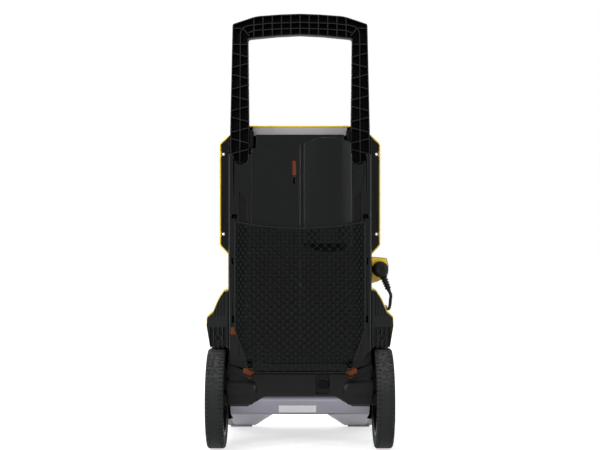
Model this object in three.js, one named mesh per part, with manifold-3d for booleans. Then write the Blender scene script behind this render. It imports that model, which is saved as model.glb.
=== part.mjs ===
// Upright electric pressure washer on two wheels, built as separate pieces.
// Millimetres, +Z up, the front faces -Y, the rear with the handle faces +Y.
// The origin is the middle of the footprint, on the floor.
import * as THREE from 'three';
import { mergeVertices } from 'three/addons/utils/BufferGeometryUtils.js';
import Module from 'manifold-3d';

const wasm = await Module();
wasm.setup();

// ---------------------------------------------------------------- driving dimensions
const gap = 0.3; // between neighbouring pieces
const wall = 3; // moulded shells

// widths, each from the rear shell outwards or inwards
const shellHalfWidth = 155;
const flangeWidth = 20.8;
const flangeEdge = 4;
const waistOverhang = 2;
const footOverhang = 17;
const flareReach = 49.8;
const coverHalfWidth = shellHalfWidth + flangeWidth;
const coverWaistHalfWidth = shellHalfWidth + waistOverhang;
const coverFootHalfWidth = shellHalfWidth + footOverhang;
const flareHalfWidth = shellHalfWidth + flareReach;
const baseHalfWidth = shellHalfWidth - wall;

// front cover
const coverTopZ = 702;
const coverBottomZ = 112;
const coverRearY = 80.7;
const coverFrontY = -160;
const coverNoseY = -190;
const coverTopInset = 47.8;
const coverTopRound = 14;
const coverShoulderInset = 24.8;
const coverShoulderZ = 685;
const coverCornerRound = 8;
const waistLowZ = 346;
const waistHighZ = 421;
const chestLowZ = 441;
const chestHighZ = 662;
const footTopZ = 331;
const noseTopZ = 255;
const noseRound = 26;
const frontLowZ = 320;
const frontHighZ = 585;
const browY = -70;
const browZ = 690;
const frontRound = 60;
const flareRootInset = 5;
const flareTipRise = 2;
const flareUpperReach = 23.5;
const flareUpperZ = 325;
const flareLowerReach = 35.3;
const flareLowerZ = 297;
const flareFrontY = -60;
const flareShoulderZ = 285.5;
const flareLedgeZ = 266;
const flareFootTaper = 7.8;
const flareHemTaper = 12.8;

// rear shell
const shellFrontY = 81;
const shellRearY = 116;
const shellTopZ = 680;
const shellBottomZ = 163;
const shellCorner = 7;
const shellHeelInset = 27;
const shellHeelRise = 11;
const shellSideRise = 21;
const shellMiddleInset = 69;
const shellHeelRound = 12;
const shellLedgeZ = 218;
const shellLedgeSlope = 18;
const bulgeInset = 94.5;
const bulgeX = bulgeInset - shellHalfWidth;
const bulgeHalfWidth = 52;
const bulgeHeight = 16;
const bulgeSideStep = 4;
const bulgeTopZ = 673;
const bulgeTopDrop = 11;
const bulgeEndZ = 446;
const bulgeEndSlope = 0.8;
const channelInset = 31.5;
const channelWidth = 17;
const channelDepth = 8;
const channelTopZ = 558;
const channelBottomZ = 175;
const channelPoint = 18;
const panelDepth = 1.8;
const panelToBulge = 9.5;
const panelNearX = bulgeX + bulgeHalfWidth + panelToBulge;
const panelFarInset = 51;
const panelFarX = shellHalfWidth - panelFarInset;
const panelBottomZ = 200;
const panelTopZ = 657;
const ridgeToBulge = 6.3;
const ridgeX = bulgeX + bulgeHalfWidth + ridgeToBulge;
const ridgeWidth = 2.8;
const ridgeHeight = 1.4;
const legWindowZ = 638;
const legWindowBottomZ = 615;
const legWindowRadius = 15;
const keySlotToPanel = 11.8;
const keySlotX = panelNearX + keySlotToPanel;
const keySlotZ = 608;
const keySlotWidth = 8;
const keySlotHeight = 32;
const keyDropWidth = 3.6;
const keyDropLength = 18;
const tyingHoleRadius = 2.5;
const tyingHoleZs = [461.4, 447.5];
const slotDepth = 6;
const ventSlit = { inset: 11.6, width: 2, bottomZ: 547, height: 82 };
const netSlots = [
  { inset: 13, width: 12, bottomZ: 499, height: 9 },
  { inset: 10, width: 4, bottomZ: 400, height: 14 },
  { inset: 11.5, width: 5, bottomZ: 275, height: 14 },
];
const screwInset = 9.8;
const screwZs = [639.3, 465.2];
const screwRadius = 2;
const screwHeadRadius = 3.6;
const screwHeadHeight = 2.2;
const screwLength = 19.3;
const screwBossHalf = 6;
const screwBossDepth = 22;

// fenders
const fenderRearY = 110;
const fenderFinDepth = 8;
const fenderFinPitch = 9.5;
const fenderFinWidth = 3;
const fenderFinInset = 4;
const fenderFinCount = 4;
const fluteCount = 5;
const flutePitch = 6.5;
const fluteInset = 7;
const fluteWidth = 2.2;
const fluteDepth = 2;
const fenderHoleInset = 20.5;
const fenderHoleZ = 241;
const fenderHoleRadius = 5.5;
const fenderBossRadius = 8.3;
const linerThickness = 2;
const linerReach = 34;

// push handle
const handleTopZ = 943.9;
const handleFrontY = 81.3;
const handleDepth = 23.7;
const handleSkin = 3;
const handleRib = 2.2;
const legSideClearance = 0.8;
const legWidth = 41.2;
const legLean = 5.2;
const legInnerLean = 2;
const legStraightZ = 690;
const legBottomZ = 545;
const legOuterX = shellHalfWidth - wall - legSideClearance;
const legInnerX = legOuterX - legWidth;
const crownHeight = 44.7;
const crownCornerDrop = 24;
const crownBendX = 95;
const crownBendDrop = 7;
const crownInnerDrop = 11;
const crownRibCount = 11;
const crownRibPitch = 20;
const crownWebDrop = 20;
const crownLowWebDrop = 33;
const legRibPitch = 23.3;
const legRibDrop = 11;
const legRibTopZ = 859;
const legTopRibZ = 876;
const guideBottomZ = 440;
const guideTopZ = 600;
const guideThickness = 5;
const guideLip = 6;
const guideLipX = legInnerX - guideLip;

// latch buttons
const latchWidth = 8;
const latchTopZ = 690;
const latchBottomZ = 652;
const latchTravel = 4;
const latchToLeg = 1.6;
const latchHook = 1.1;
const latchWindowMargin = 1.4;

// base tray
const baseRearY = 106;
const baseFrontY = -195;
const baseRearTopZ = 162.7;
const baseRearBottomZ = 104;
const baseBevelY = 70;
const baseBevelZ = 70;
const baseArchZ = 28.4;
const archHalfWidth = 65;
const archFootHalfWidth = 110;
const archRise = 0.165; // climb of the arch's sides towards the rear
const footRearY = -181;
const footHeight = 4;
const footInset = 5;
const lipTopZ = 150;
const housingRadius = 22;
const housingY = 95;
const housingZ = 130;
const housingLength = 66;
const housingOuterX = coverWaistHalfWidth;
const housingInnerX = housingOuterX - housingLength;
const housingStripZ = 96;
const housingStripDepth = 14;
const axleSeat = 11;
const inletX = -50.8;
const inletZ = 141.5;
const inletRadius = 12;
const inletBore = 5;
const inletFrontY = 60;
const inletRecessDepth = 8;
const inletRecess = { left: 16.1, right: 12.7, bottomZ: 119.5, topZ: 160.8 };
const plateWidth = 81.5;
const plateHeight = 25;
const plateThickness = 0.8;
const plateX = 5.5;
const platePlace = 0.58; // share of the way down the sloping edge

// wheels and axle
const wheelRadius = 108;
const wheelClearance = 4;
const tyreWidth = 39;
const tyreInnerX = housingOuterX + wheelClearance;
const tyreShoulder = 5;
const tyreHeight = 26;
const rimRadius = wheelRadius - tyreHeight;
const rimInset = 2;
const fellyDepth = 9;
const discInset = 13;
const discThickness = 12;
const axleY = 87;
const axleRadius = 6;
const axleClearance = 0.3;
const axleEndInset = 4.5;
const hubRadius = 16;
const hubOverhang = 3.4;
const hubInset = 4;
const spokeCount = 5;
const hubCapRadius = 25;
const hubCapDepth = 5;
const wheelSegments = 32;
const wheelWellGap = 8;

// front controls
const controlPanelHalfWidth = 70;
const controlPanelBottomZ = 400;
const controlPanelTopZ = 560;
const controlPanelThickness = 5;
const controlPanelRound = 16;
const knobZ = 500;
const knobRadius = 26;
const knobDepth = 18;
const knobDisc = 8;
const knobGripWidth = 10;
const knobStemRadius = 4;
const switchSize = 44;
const switchDepth = 34;
const outletX = 50;
const outletZ = 178;
const outletRadius = 11;
const outletCollar = 4;
const outletDepth = 14;
const outletBore = 5;

// motor and pump
const motorY = 80.3;
const motorRadius = 42;
const motorBottomZ = 452;
const motorTopZ = 612;
const shaftRadius = 6;
const shaftTopZ = 640;
const shaftBottomZ = 396;
const hubThickness = 6;
const bearingRadius = 14;
const bearingWidth = 7;
const rotorRadius = 27;
const rotorHeight = 96;
const fanRadius = 37;
const fanHeight = 12;
const fanBlades = 5;
const fanGap = 4;
const pumpRadius = 32;
const pumpBottomZ = 330;
const pumpPadHalfWidth = 24;
const pumpChamberRadius = 26;
const pumpChamberBottomZ = 384;
const wobbleTilt = 9; // degrees
const wobbleRadius = 21;
const wobbleThickness = 6;
const wobbleZ = 402;
const pistonRadius = 5;
const pistonPitchRadius = 15;
const pistonCount = 3;
const headHeight = 30;
const headPortReach = 54;
const headPortDrop = 20;
const portRadius = 9;
const portY = 16;
const hoseRadius = 7;
const hoseLead = 16;
const hoseBend = 26;
const hoseBendRise = 14;
const hoseLoopRise = 58;
const hoseEndDrop = 35;
const hoseEndLead = 12;
const hoseEndSet = 8;
const pipeRadius = 5;
const pipeLead = 20;
const pipeTurn = 56;
const pipeTurnSet = 10;
const pipeTurnDrop = 20;
const pipeMiddleX = 20;
const pipeMiddleY = -100;
const pipeMiddleZ = 240;
const pipeLowY = -140;
const pipeLowRise = 10;
const pipeEndLead = 16;
const switchBoxSize = 24;
const capacitorX = 60;
const capacitorRadius = 17.5;
const capacitorBottomZ = 480;
const capacitorHeight = 80;

// plug, its bracket and the mains cord
const cordRadius = 3.5;
const plugReach = 18.4;
const plugX = -(coverWaistHalfWidth + plugReach);
const plugRise = 4.9; // over the middle of the cover's waist
const plugZ = (waistLowZ + waistHighZ) / 2 + plugRise;
const plugRadius = 17.4;
const plugDepth = 27;
const plugFrontY = 70.3;
const pinPitch = 19;
const pinRadius = 2.4;
const pinLength = 19;
const bracketDepth = 24;
const reliefTilt = 22; // degrees
const reliefLength = 38;
const reliefRadius = 7.2;
const reliefTaper = 0.7;
const reliefGroove = 1.5;
const reliefRings = 4;
const coilX = -172;
const coilY = -292;
const coilMeanRadius = 42;
const coilLayers = 4;
const coilTurns = 15.5;
const coilPitch = 7.65;
const coilLayerPitch = 7.7;
const coilSteps = 16;
const coilSides = 5;
const leadSides = 8;
const glandZ = 46;
const glandLength = 36;
const glandRootRadius = 6;
const glandCollarRadius = 10;

// storage net and what holds it
const netInset = 14;
const netHalfWidth = shellHalfWidth - netInset;
const netBottomTaper = 23;
const netBottomHalfWidth = netHalfWidth - netBottomTaper;
const netY = 134.2;
const netThickness = 2;
const netTopZ = 494;
const netSag = 14;
const netTaperZ = 260;
const netBottomZ = 167;
const netPitchX = 36;
const netPitchZ = 42;
const netStrand = 2.2;
const netHem = 4;
const hookX = 98;
const hookWidth = 24;
const hookTopZ = 178.5;
const hookLipHeight = 11.5;
const hookArmX = 104;
const hookArmWidth = 11;
const hookNoseZ = 152.5;
const hookNoseHeight = 4;
const hookThickness = 3.4;
const clipInset = 11;
const clipWidth = 10;
const clipZ = 257;
const clipHeight = 16;
const clipThickness = 3;

// ---------------------------------------------------------------- shaping tools
const MERGE = 1e-4;

function solidOf(geometry) {
  const bare = geometry.clone();
  bare.deleteAttribute('normal');
  bare.deleteAttribute('uv');
  const welded = mergeVertices(bare, MERGE);
  const spots = new Float32Array(welded.attributes.position.array);
  const index = welded.index.array;
  const faces = [];
  for (let i = 0; i < index.length; i += 3) {
    const [a, b, c] = [index[i], index[i + 1], index[i + 2]];
    if (a !== b && b !== c && c !== a) faces.push(a, b, c);
  }
  return new wasm.Manifold(new wasm.Mesh({
    numProp: 3,
    vertProperties: spots,
    triVerts: new Uint32Array(outward(spots, faces)),
  }));
}

// Turns the faces round when they enclose a negative volume.
function outward(spots, faces) {
  let volume = 0;
  const at = (i) => new THREE.Vector3(spots[3 * i], spots[3 * i + 1], spots[3 * i + 2]);
  for (let i = 0; i < faces.length; i += 3) {
    volume += at(faces[i]).dot(at(faces[i + 1]).cross(at(faces[i + 2])));
  }
  return volume < 0 ? faces.reverse() : faces;
}

function geometryOf(solid) {
  const mesh = solid.getMesh();
  const geometry = new THREE.BufferGeometry();
  geometry.setAttribute('position', new THREE.BufferAttribute(new Float32Array(mesh.vertProperties), 3));
  geometry.setIndex(new THREE.BufferAttribute(new Uint32Array(mesh.triVerts), 1));
  return geometry;
}

const join = (...solids) => solids.reduce((whole, one) => whole.add(one));
const cut = (whole, ...tools) => tools.reduce((rest, tool) => rest.subtract(tool), whole);
const meet = (a, b) => a.intersect(b);

// Replaces each corner [u, v, radius] that has a radius by an arc.
function rounded(corners, closed = true) {
  const outline = [];
  const count = corners.length;
  corners.forEach(([u, v, radius = 0], i) => {
    const end = !closed && (i === 0 || i === count - 1);
    const before = corners[(i + count - 1) % count];
    const after = corners[(i + 1) % count];
    const corner = new THREE.Vector2(u, v);
    const back = new THREE.Vector2(before[0] - u, before[1] - v);
    const ahead = new THREE.Vector2(after[0] - u, after[1] - v);
    const turn = Math.PI - back.angleTo(ahead);
    if (radius <= 0 || end || turn < 0.02) {
      outline.push(corner);
      return;
    }
    const room = 0.49 * Math.min(back.length(), ahead.length());
    const reach = Math.min(radius * Math.tan(turn / 2), room);
    const start = corner.clone().addScaledVector(back.normalize(), reach);
    const stop = corner.clone().addScaledVector(ahead.normalize(), reach);
    const curve = new THREE.QuadraticBezierCurve(start, corner, stop);
    outline.push(...curve.getPoints(Math.max(2, Math.ceil(turn / 0.55))));
  });
  return outline;
}

// Moves every edge of a closed outline inwards by a distance.
function inset(corners, distance) {
  const area = corners.reduce((sum, [u, v], i) => {
    const [nextU, nextV] = corners[(i + 1) % corners.length];
    return sum + u * nextV - nextU * v;
  }, 0);
  const side = Math.sign(area) * distance;
  const edges = corners.map(([u, v], i) => {
    const [nextU, nextV] = corners[(i + 1) % corners.length];
    const length = Math.hypot(nextU - u, nextV - v);
    const normal = [-(nextV - v) / length, (nextU - u) / length];
    return { u: u + normal[0] * side, v: v + normal[1] * side, du: nextU - u, dv: nextV - v };
  });
  return corners.map(([, , radius = 0], i) => {
    const a = edges[(i + corners.length - 1) % corners.length];
    const b = edges[i];
    const cross = a.du * b.dv - a.dv * b.du;
    if (Math.abs(cross) < MERGE) return [b.u, b.v, Math.max(0, radius - distance)];
    const along = ((b.u - a.u) * b.dv - (b.v - a.v) * b.du) / cross;
    return [a.u + a.du * along, a.v + a.dv * along, Math.max(0, radius - distance)];
  });
}

// Completes a right-hand half outline, from its top middle down, to both sides.
function mirrored(half) {
  const left = half.filter(([u]) => u !== 0).map(([u, v, radius]) => [-u, v, radius]);
  return [...half, ...left.reverse()];
}

// Extrudes an outline along X (from Y, Z), along Y (from X, Z) or along Z (from X, Y).
function prism(axis, corners, from, to) {
  const shape = new THREE.Shape(rounded(corners));
  const geometry = new THREE.ExtrudeGeometry(shape, { depth: to - from, bevelEnabled: false });
  if (axis === 'y') {
    geometry.rotateX(Math.PI / 2).translate(0, to, 0);
  } else if (axis === 'x') {
    const turn = new THREE.Matrix4().makeBasis(
      new THREE.Vector3(0, 1, 0), new THREE.Vector3(0, 0, 1), new THREE.Vector3(1, 0, 0));
    geometry.applyMatrix4(turn).translate(from, 0, 0);
  } else {
    geometry.translate(0, 0, from);
  }
  return solidOf(geometry);
}

function block(x0, x1, y0, y1, z0, z1) {
  const geometry = new THREE.BoxGeometry(x1 - x0, y1 - y0, z1 - z0);
  return solidOf(geometry.translate((x0 + x1) / 2, (y0 + y1) / 2, (z0 + z1) / 2));
}

function circle(u, v, radius, segments = 16) {
  return Array.from({ length: segments }, (_, i) => {
    const angle = (2 * Math.PI * i) / segments;
    return [u + radius * Math.cos(angle), v + radius * Math.sin(angle)];
  });
}

const rod = (axis, u, v, radius, from, to, segments) => prism(axis, circle(u, v, radius, segments), from, to);

// Turns a profile of [radius, along] points round an axis through (u, v).
function turned(axis, u, v, profile, segments = 14) {
  const points = profile.map(([radius, along]) => new THREE.Vector2(radius, along));
  const geometry = new THREE.LatheGeometry([...points, points[0]], segments);
  const [x, y, z] = [new THREE.Vector3(1, 0, 0), new THREE.Vector3(0, 1, 0), new THREE.Vector3(0, 0, 1)];
  if (axis === 'x') geometry.applyMatrix4(new THREE.Matrix4().makeBasis(z, x, y)).translate(0, u, v);
  if (axis === 'y') geometry.translate(u, 0, v);
  if (axis === 'z') geometry.applyMatrix4(new THREE.Matrix4().makeBasis(y, z, x)).translate(u, v, 0);
  return solidOf(geometry);
}

// A strip of even thickness along an open line of [x, z, radius] corners.
function strip(corners, thickness, y0, y1) {
  const line = rounded(corners, false);
  const sideAt = (i, side) => {
    const before = line[Math.max(0, i - 1)];
    const after = line[Math.min(line.length - 1, i + 1)];
    const along = after.clone().sub(before).normalize();
    return [line[i].x - (along.y * side * thickness) / 2, line[i].y + (along.x * side * thickness) / 2];
  };
  const left = line.map((_, i) => sideAt(i, 1));
  const right = line.map((_, i) => sideAt(i, -1));
  return prism('y', [...left, ...right.reverse()], y0, y1);
}

// A round tube along a smooth line through chosen points.
function pipe(points, radius, sides, steps) {
  const curve = new THREE.CatmullRomCurve3(points.map((p) => new THREE.Vector3(...p)), false, 'centripetal');
  const section = new THREE.Shape(circle(0, 0, radius, sides).map(([u, v]) => new THREE.Vector2(u, v)));
  return solidOf(new THREE.ExtrudeGeometry(section, { steps, extrudePath: curve, bevelEnabled: false }));
}

// An unbroken tube through closely spaced points, with flat ends.
function woundTube(line, radius, sides) {
  const up = new THREE.Vector3(0, 0, 1);
  const spots = [];
  line.forEach((point, i) => {
    const before = line[Math.max(0, i - 1)];
    const after = line[Math.min(line.length - 1, i + 1)];
    const along = after.clone().sub(before).normalize();
    const out = along.clone().cross(up).normalize();
    const rise = out.clone().cross(along);
    for (let k = 0; k < sides; k += 1) {
      const angle = (2 * Math.PI * (k + 0.5)) / sides;
      const spot = point.clone().addScaledVector(out, radius * Math.cos(angle));
      spots.push(...spot.addScaledVector(rise, radius * Math.sin(angle)).toArray());
    }
  });
  const faces = [];
  const last = (line.length - 1) * sides;
  for (let i = 0; i < line.length - 1; i += 1) {
    for (let k = 0; k < sides; k += 1) {
      const [a, b] = [i * sides + k, i * sides + ((k + 1) % sides)];
      faces.push(a, b, a + sides, b, b + sides, a + sides);
    }
  }
  for (let k = 1; k < sides - 1; k += 1) {
    faces.push(0, k + 1, k, last, last + k, last + k + 1);
  }
  const geometry = new THREE.BufferGeometry();
  geometry.setAttribute('position', new THREE.BufferAttribute(new Float32Array(spots), 3));
  geometry.setIndex(outward(spots, faces));
  return geometry;
}

// ---------------------------------------------------------------- the assembly
const washer = new THREE.Group();

const finishes = {
  blackPlastic: { color: 0x17181a, roughness: 0.32, metalness: 0 },
  ribbedPlastic: { color: 0x1b1c1e, roughness: 0.45, metalness: 0 },
  yellowPlastic: { color: 0xf2c40f, roughness: 0.3, metalness: 0 },
  greyPlastic: { color: 0x98989b, roughness: 0.4, metalness: 0 },
  orangePlastic: { color: 0xc9622a, roughness: 0.45, metalness: 0 },
  rubber: { color: 0x2a2c2d, roughness: 0.8, metalness: 0 },
  netCord: { color: 0x141a1a, roughness: 0.85, metalness: 0 },
  steel: { color: 0xb8babd, roughness: 0.3, metalness: 1 },
  brass: { color: 0xb58a3c, roughness: 0.3, metalness: 1 },
  aluminium: { color: 0x9a9c9f, roughness: 0.4, metalness: 1 },
  plate: { color: 0xe8e8ea, roughness: 0.5, metalness: 0 },
};

function add(name, shape, finish) {
  const geometry = shape.isBufferGeometry ? shape : geometryOf(shape);
  const mesh = new THREE.Mesh(geometry, new THREE.MeshStandardMaterial(finishes[finish]));
  mesh.name = name;
  washer.add(mesh);
  return mesh;
}

const sides = [['left', 1], ['right', -1]];
const flip = (solid, side) => (side > 0 ? solid : solid.mirror([1, 0, 0]));
const axleZ = wheelRadius;

// ---------------------------------------------------------------- front cover
const wellRadius = wheelRadius + wheelWellGap;
const wellReach = flareHalfWidth + wall;
const past = 5; // how far a cutting solid runs past what it cuts

function wheelWell(radius, innerX, outerX = wellReach) {
  return rod('x', axleY, axleZ, radius, innerX, outerX, 22);
}

function flareOutline() {
  const root = shellHalfWidth - flareRootInset;
  return [
    [root, waistLowZ], [coverWaistHalfWidth, waistLowZ],
    [coverWaistHalfWidth + 9, waistLowZ - flareTipRise, 6], [shellHalfWidth + flareUpperReach, flareUpperZ],
    [shellHalfWidth + flareLowerReach, flareLowerZ], [flareHalfWidth - 1, flareShoulderZ, 3],
    [flareHalfWidth, flareLedgeZ], [flareHalfWidth - flareFootTaper, shellLedgeZ],
    [flareHalfWidth - flareHemTaper, coverBottomZ], [root, coverBottomZ],
  ];
}

function coverVolume(depthIn) {
  const open = depthIn > 0 ? 25 : 0;
  const face = mirrored([
    [0, coverTopZ], [coverHalfWidth - coverTopInset, coverTopZ, coverTopRound],
    [coverHalfWidth - coverShoulderInset, coverShoulderZ, coverCornerRound],
    [coverHalfWidth, chestHighZ, coverCornerRound], [coverHalfWidth, chestLowZ, coverCornerRound],
    [coverWaistHalfWidth, waistHighZ, coverCornerRound], [coverWaistHalfWidth, waistLowZ, coverCornerRound],
    [coverFootHalfWidth, footTopZ, coverCornerRound], [coverFootHalfWidth, coverBottomZ - open],
  ]);
  const profile = [
    [coverRearY + open, coverBottomZ - open], [coverNoseY, coverBottomZ - open],
    [coverNoseY, noseTopZ, noseRound], [coverFrontY, frontLowZ, noseRound],
    [coverFrontY, frontHighZ, frontRound], [browY, browZ, frontRound],
    [0, coverTopZ, noseRound], [coverRearY + open, coverTopZ],
  ];
  const core = meet(
    prism('y', inset(face, depthIn), coverNoseY - past, coverRearY + open),
    prism('x', inset(profile, depthIn), -coverHalfWidth - past, coverHalfWidth + past));
  const flare = prism('y', inset(flareOutline(), depthIn), flareFrontY + depthIn, coverRearY + open);
  return join(core, flare, flip(flare, -1));
}

const screwX = coverHalfWidth - screwInset;
const screwTipY = shellFrontY + wall + gap - screwLength;

function frontCover() {
  let cavity = coverVolume(wall);
  let shell = coverVolume(0);
  for (const [, side] of sides) {
    shell = cut(shell, flip(wheelWell(wellRadius, coverWaistHalfWidth), side));
    cavity = cut(cavity, flip(wheelWell(wellRadius + wall, coverWaistHalfWidth - wall), side));
  }
  shell = cut(shell, cavity);
  for (const [, side] of sides) {
    for (const z of screwZs) {
      const boss = cut(
        block(screwX - screwBossHalf, coverHalfWidth - 1, coverRearY - screwBossDepth, coverRearY,
          z - screwBossHalf, z + screwBossHalf),
        rod('y', screwX, z, screwRadius + gap, screwTipY - 1, coverRearY + 1, 8));
      shell = join(shell, flip(boss, side));
    }
  }
  return cut(
    shell,
    rod('y', outletX, outletZ, outletRadius, coverNoseY - past, coverNoseY + wall + past),
    rod('y', 0, knobZ, knobStemRadius + 1, coverFrontY - past, coverFrontY + wall + past, 16));
}
add('front_cover', frontCover(), 'yellowPlastic');

const stripHalfWidth = guideLipX - 1;
const topStrip = block(
  -stripHalfWidth, stripHalfWidth, coverRearY - 8, coverRearY - 0.5,
  shellTopZ + gap, coverTopZ - wall - gap);
add('top_strip', topStrip, 'greyPlastic');

// ---------------------------------------------------------------- rear shell
const shellInnerX = shellHalfWidth - wall;
const shellInnerY = shellRearY - wall;
const channelX = shellHalfWidth - channelInset;

// The bulge is part of an upright cylinder, which slants inwards below its end.
function bulge(offset) {
  const rise = bulgeHeight - bulgeSideStep;
  const radius = (bulgeHalfWidth ** 2 + rise ** 2) / (2 * rise);
  const top = shellRearY + bulgeHeight;
  const foot = (bulgeHeight + wall + slotDepth) / bulgeEndSlope;
  const left = bulgeX - bulgeHalfWidth;
  const right = bulgeX + bulgeHalfWidth;
  const half = bulgeHalfWidth / 2;
  const face = [
    [left, bulgeEndZ - foot], [right, bulgeEndZ - foot], [right, bulgeTopZ - bulgeTopDrop],
    [bulgeX + half, bulgeTopZ - 2], [bulgeX, bulgeTopZ], [bulgeX - half, bulgeTopZ - 2],
    [left, bulgeTopZ - bulgeTopDrop],
  ];
  const upright = rod('z', bulgeX, top - radius, radius - offset, bulgeEndZ, bulgeTopZ, 48);
  const slanted = rod('z', bulgeX, top - radius, radius - offset, -foot, 0, 48)
    .transform([1, 0, 0, 0, 0, 1, 0, 0, 0, bulgeEndSlope, 1, 0, 0, 0, bulgeEndZ, 1]);
  return meet(join(upright, slanted), prism('y', inset(face, offset), shellInnerY - slotDepth, top + 1));
}

function shellOutline() {
  return mirrored([
    [0, shellTopZ], [shellHalfWidth, shellTopZ], [shellHalfWidth, shellBottomZ + shellSideRise, shellCorner],
    [shellHalfWidth - shellHeelInset, shellBottomZ + shellHeelRise, shellHeelRound],
    [shellHalfWidth - shellMiddleInset, shellBottomZ, shellHeelRound],
  ]);
}

function ledgeCut(offset) {
  const slope = [
    [shellRearY - offset, shellLedgeZ], [shellRearY - shellLedgeSlope - offset, shellBottomZ],
    [shellRearY - shellLedgeSlope - offset - 8, shellBottomZ - 25], [shellRearY + past, shellBottomZ - 25],
    [shellRearY + past, shellLedgeZ],
  ];
  return prism('x', slope, -shellHalfWidth - past, shellHalfWidth + past);
}

function channel(offset) {
  const half = channelWidth / 2 + offset;
  const face = [
    [channelX - half, channelBottomZ - offset], [channelX + half, channelBottomZ - offset],
    [channelX + half, channelTopZ + offset], [channelX - half, channelTopZ - channelPoint + offset],
  ];
  return prism('y', face, shellRearY - channelDepth - offset, shellRearY + past);
}

function shellFlange() {
  const edge = coverHalfWidth - flangeEdge;
  const face = [
    [shellInnerX, shellTopZ - 1], [shellHalfWidth - 2, shellTopZ - 1], [edge, chestHighZ - 1, flangeEdge],
    [edge, chestLowZ + 1, flangeEdge], [shellHalfWidth, waistHighZ + 2], [shellInnerX, waistHighZ + 2],
  ];
  const holes = screwZs.map((z) => rod(
    'y', screwX, z, screwRadius + gap, shellFrontY - 1, shellFrontY + wall + 1, 8));
  return cut(prism('y', face, shellFrontY, shellFrontY + wall), ...holes);
}

// Openings in the top corner that show the leg: a wide one above a round-ended one.
const legWindowX = legInnerX + legWindowRadius + 2;
function legWindow() {
  const frontY = shellFrontY + wall + gap;
  const rearY = shellRearY + past;
  const [low, high] = [legWindowX - legWindowRadius, legWindowX + legWindowRadius];
  const roundZ = legWindowBottomZ + legWindowRadius;
  const rimZ = shellTopZ + past;
  const latchX = legInnerX - latchToLeg - latchWidth - latchTravel - latchWindowMargin;
  return join(
    block(legInnerX - 4, legOuterX + gap, shellFrontY - 1, shellRearY, shellTopZ - wall - 1, rimZ),
    block(legInnerX - 4, shellHalfWidth + past, frontY, rearY, legWindowZ, rimZ),
    block(low, high, frontY, rearY, roundZ, legWindowZ + past),
    rod('y', legWindowX, roundZ, legWindowRadius, frontY, rearY),
    block(latchX, legInnerX, frontY, rearY, latchBottomZ - 1, rimZ));
}

// A slot in the rear wall, placed by how far its middle is from the shell's side.
function wallSlot({ inset: fromSide, width, bottomZ, height }, depth) {
  const x = shellHalfWidth - fromSide - width / 2;
  return block(x, x + width, shellRearY - depth, shellRearY + past, bottomZ, bottomZ + height);
}

function keySlot() {
  const [front, rear] = [shellInnerY - 1, shellRearY + past];
  const [half, drop] = [keySlotWidth / 2, keyDropWidth / 2];
  const bottomZ = keySlotZ - keySlotHeight / 2;
  return join(
    block(keySlotX - half, keySlotX + half, front, rear, bottomZ, bottomZ + keySlotHeight),
    rod('y', keySlotX, bottomZ - half, drop + 0.8, front, rear, 12),
    block(keySlotX - drop, keySlotX + drop, front, rear, bottomZ - keyDropLength, bottomZ - half));
}

function rearShell() {
  const tub = [
    [-shellHalfWidth, shellFrontY], [-shellHalfWidth, shellRearY, shellCorner],
    [shellHalfWidth, shellRearY, shellCorner], [shellHalfWidth, shellFrontY],
  ];
  const outer = cut(
    meet(prism('y', shellOutline(), shellFrontY, shellRearY + 1),
      prism('z', tub, shellBottomZ - past, shellTopZ + past)),
    ledgeCut(0));
  let cavity = cut(
    prism('y', inset(shellOutline(), wall), shellFrontY - past, shellInnerY), ledgeCut(wall));
  const cuts = [];
  for (const [, side] of sides) {
    cavity = cut(cavity, flip(channel(wall - 0.5), side));
    cuts.push(flip(channel(0), side), flip(legWindow(), side));
    cuts.push(flip(wallSlot(ventSlit, 2), side));
    for (const slot of netSlots) cuts.push(flip(wallSlot(slot, slotDepth), side));
  }
  const panel = block(
    panelNearX, panelFarX, shellRearY - panelDepth, shellRearY + past, panelBottomZ, panelTopZ);
  const ridge = block(
    ridgeX - ridgeWidth / 2, ridgeX + ridgeWidth / 2, shellRearY - 1, shellRearY + ridgeHeight,
    panelBottomZ, panelTopZ);
  const holes = tyingHoleZs.map((z) => rod(
    'y', keySlotX - 1, z, tyingHoleRadius, shellInnerY - 1, shellRearY + past, 12));
  const shell = cut(join(outer, bulge(0)), join(cavity, bulge(wall)));
  const flanges = sides.map(([, side]) => flip(shellFlange(), side));
  return cut(join(shell, ridge, ...flanges), ...cuts, panel, keySlot(), ...holes);
}
add('rear_shell', rearShell(), 'blackPlastic');

const keyInsertRearY = shellInnerY - gap;
const keyInsert = block(
  keySlotX - keySlotWidth, keySlotX + keySlotWidth, keyInsertRearY - 3.5, keyInsertRearY,
  keySlotZ - keySlotHeight / 2 - 4, keySlotZ + keySlotHeight / 2 + 4);
add('keyhole_insert', keyInsert, 'orangePlastic');

for (const [word, side] of sides) {
  screwZs.forEach((z, i) => {
    const seat = shellFrontY + wall + gap;
    const screw = turned('y', side * screwX, z, [
      [0, screwTipY], [screwRadius, screwTipY + 2], [screwRadius, seat], [screwHeadRadius, seat],
      [screwHeadRadius - 0.4, seat + 1.6], [0, seat + screwHeadHeight],
    ], 8);
    add(`flange_screw_${word}_${i + 1}`, screw, 'steel');
  });
}

// ---------------------------------------------------------------- fenders
// A thin lining inside the front cover's wheel well, with its flat inner side.
function wellLiner() {
  const outer = wellRadius - gap;
  const innerX = coverWaistHalfWidth + gap;
  const arch = cut(
    wheelWell(outer, innerX, innerX + linerReach),
    wheelWell(outer - linerThickness, innerX - 1, innerX + linerReach + 1));
  const side = cut(
    wheelWell(outer, innerX, innerX + linerThickness - gap),
    wheelWell(housingRadius * 2, innerX - 1, innerX + linerThickness));
  return meet(join(arch, side), block(
    innerX - 1, flareHalfWidth, axleY - outer - 1, shellFrontY + gap, coverBottomZ + wall, waistLowZ));
}

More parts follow.
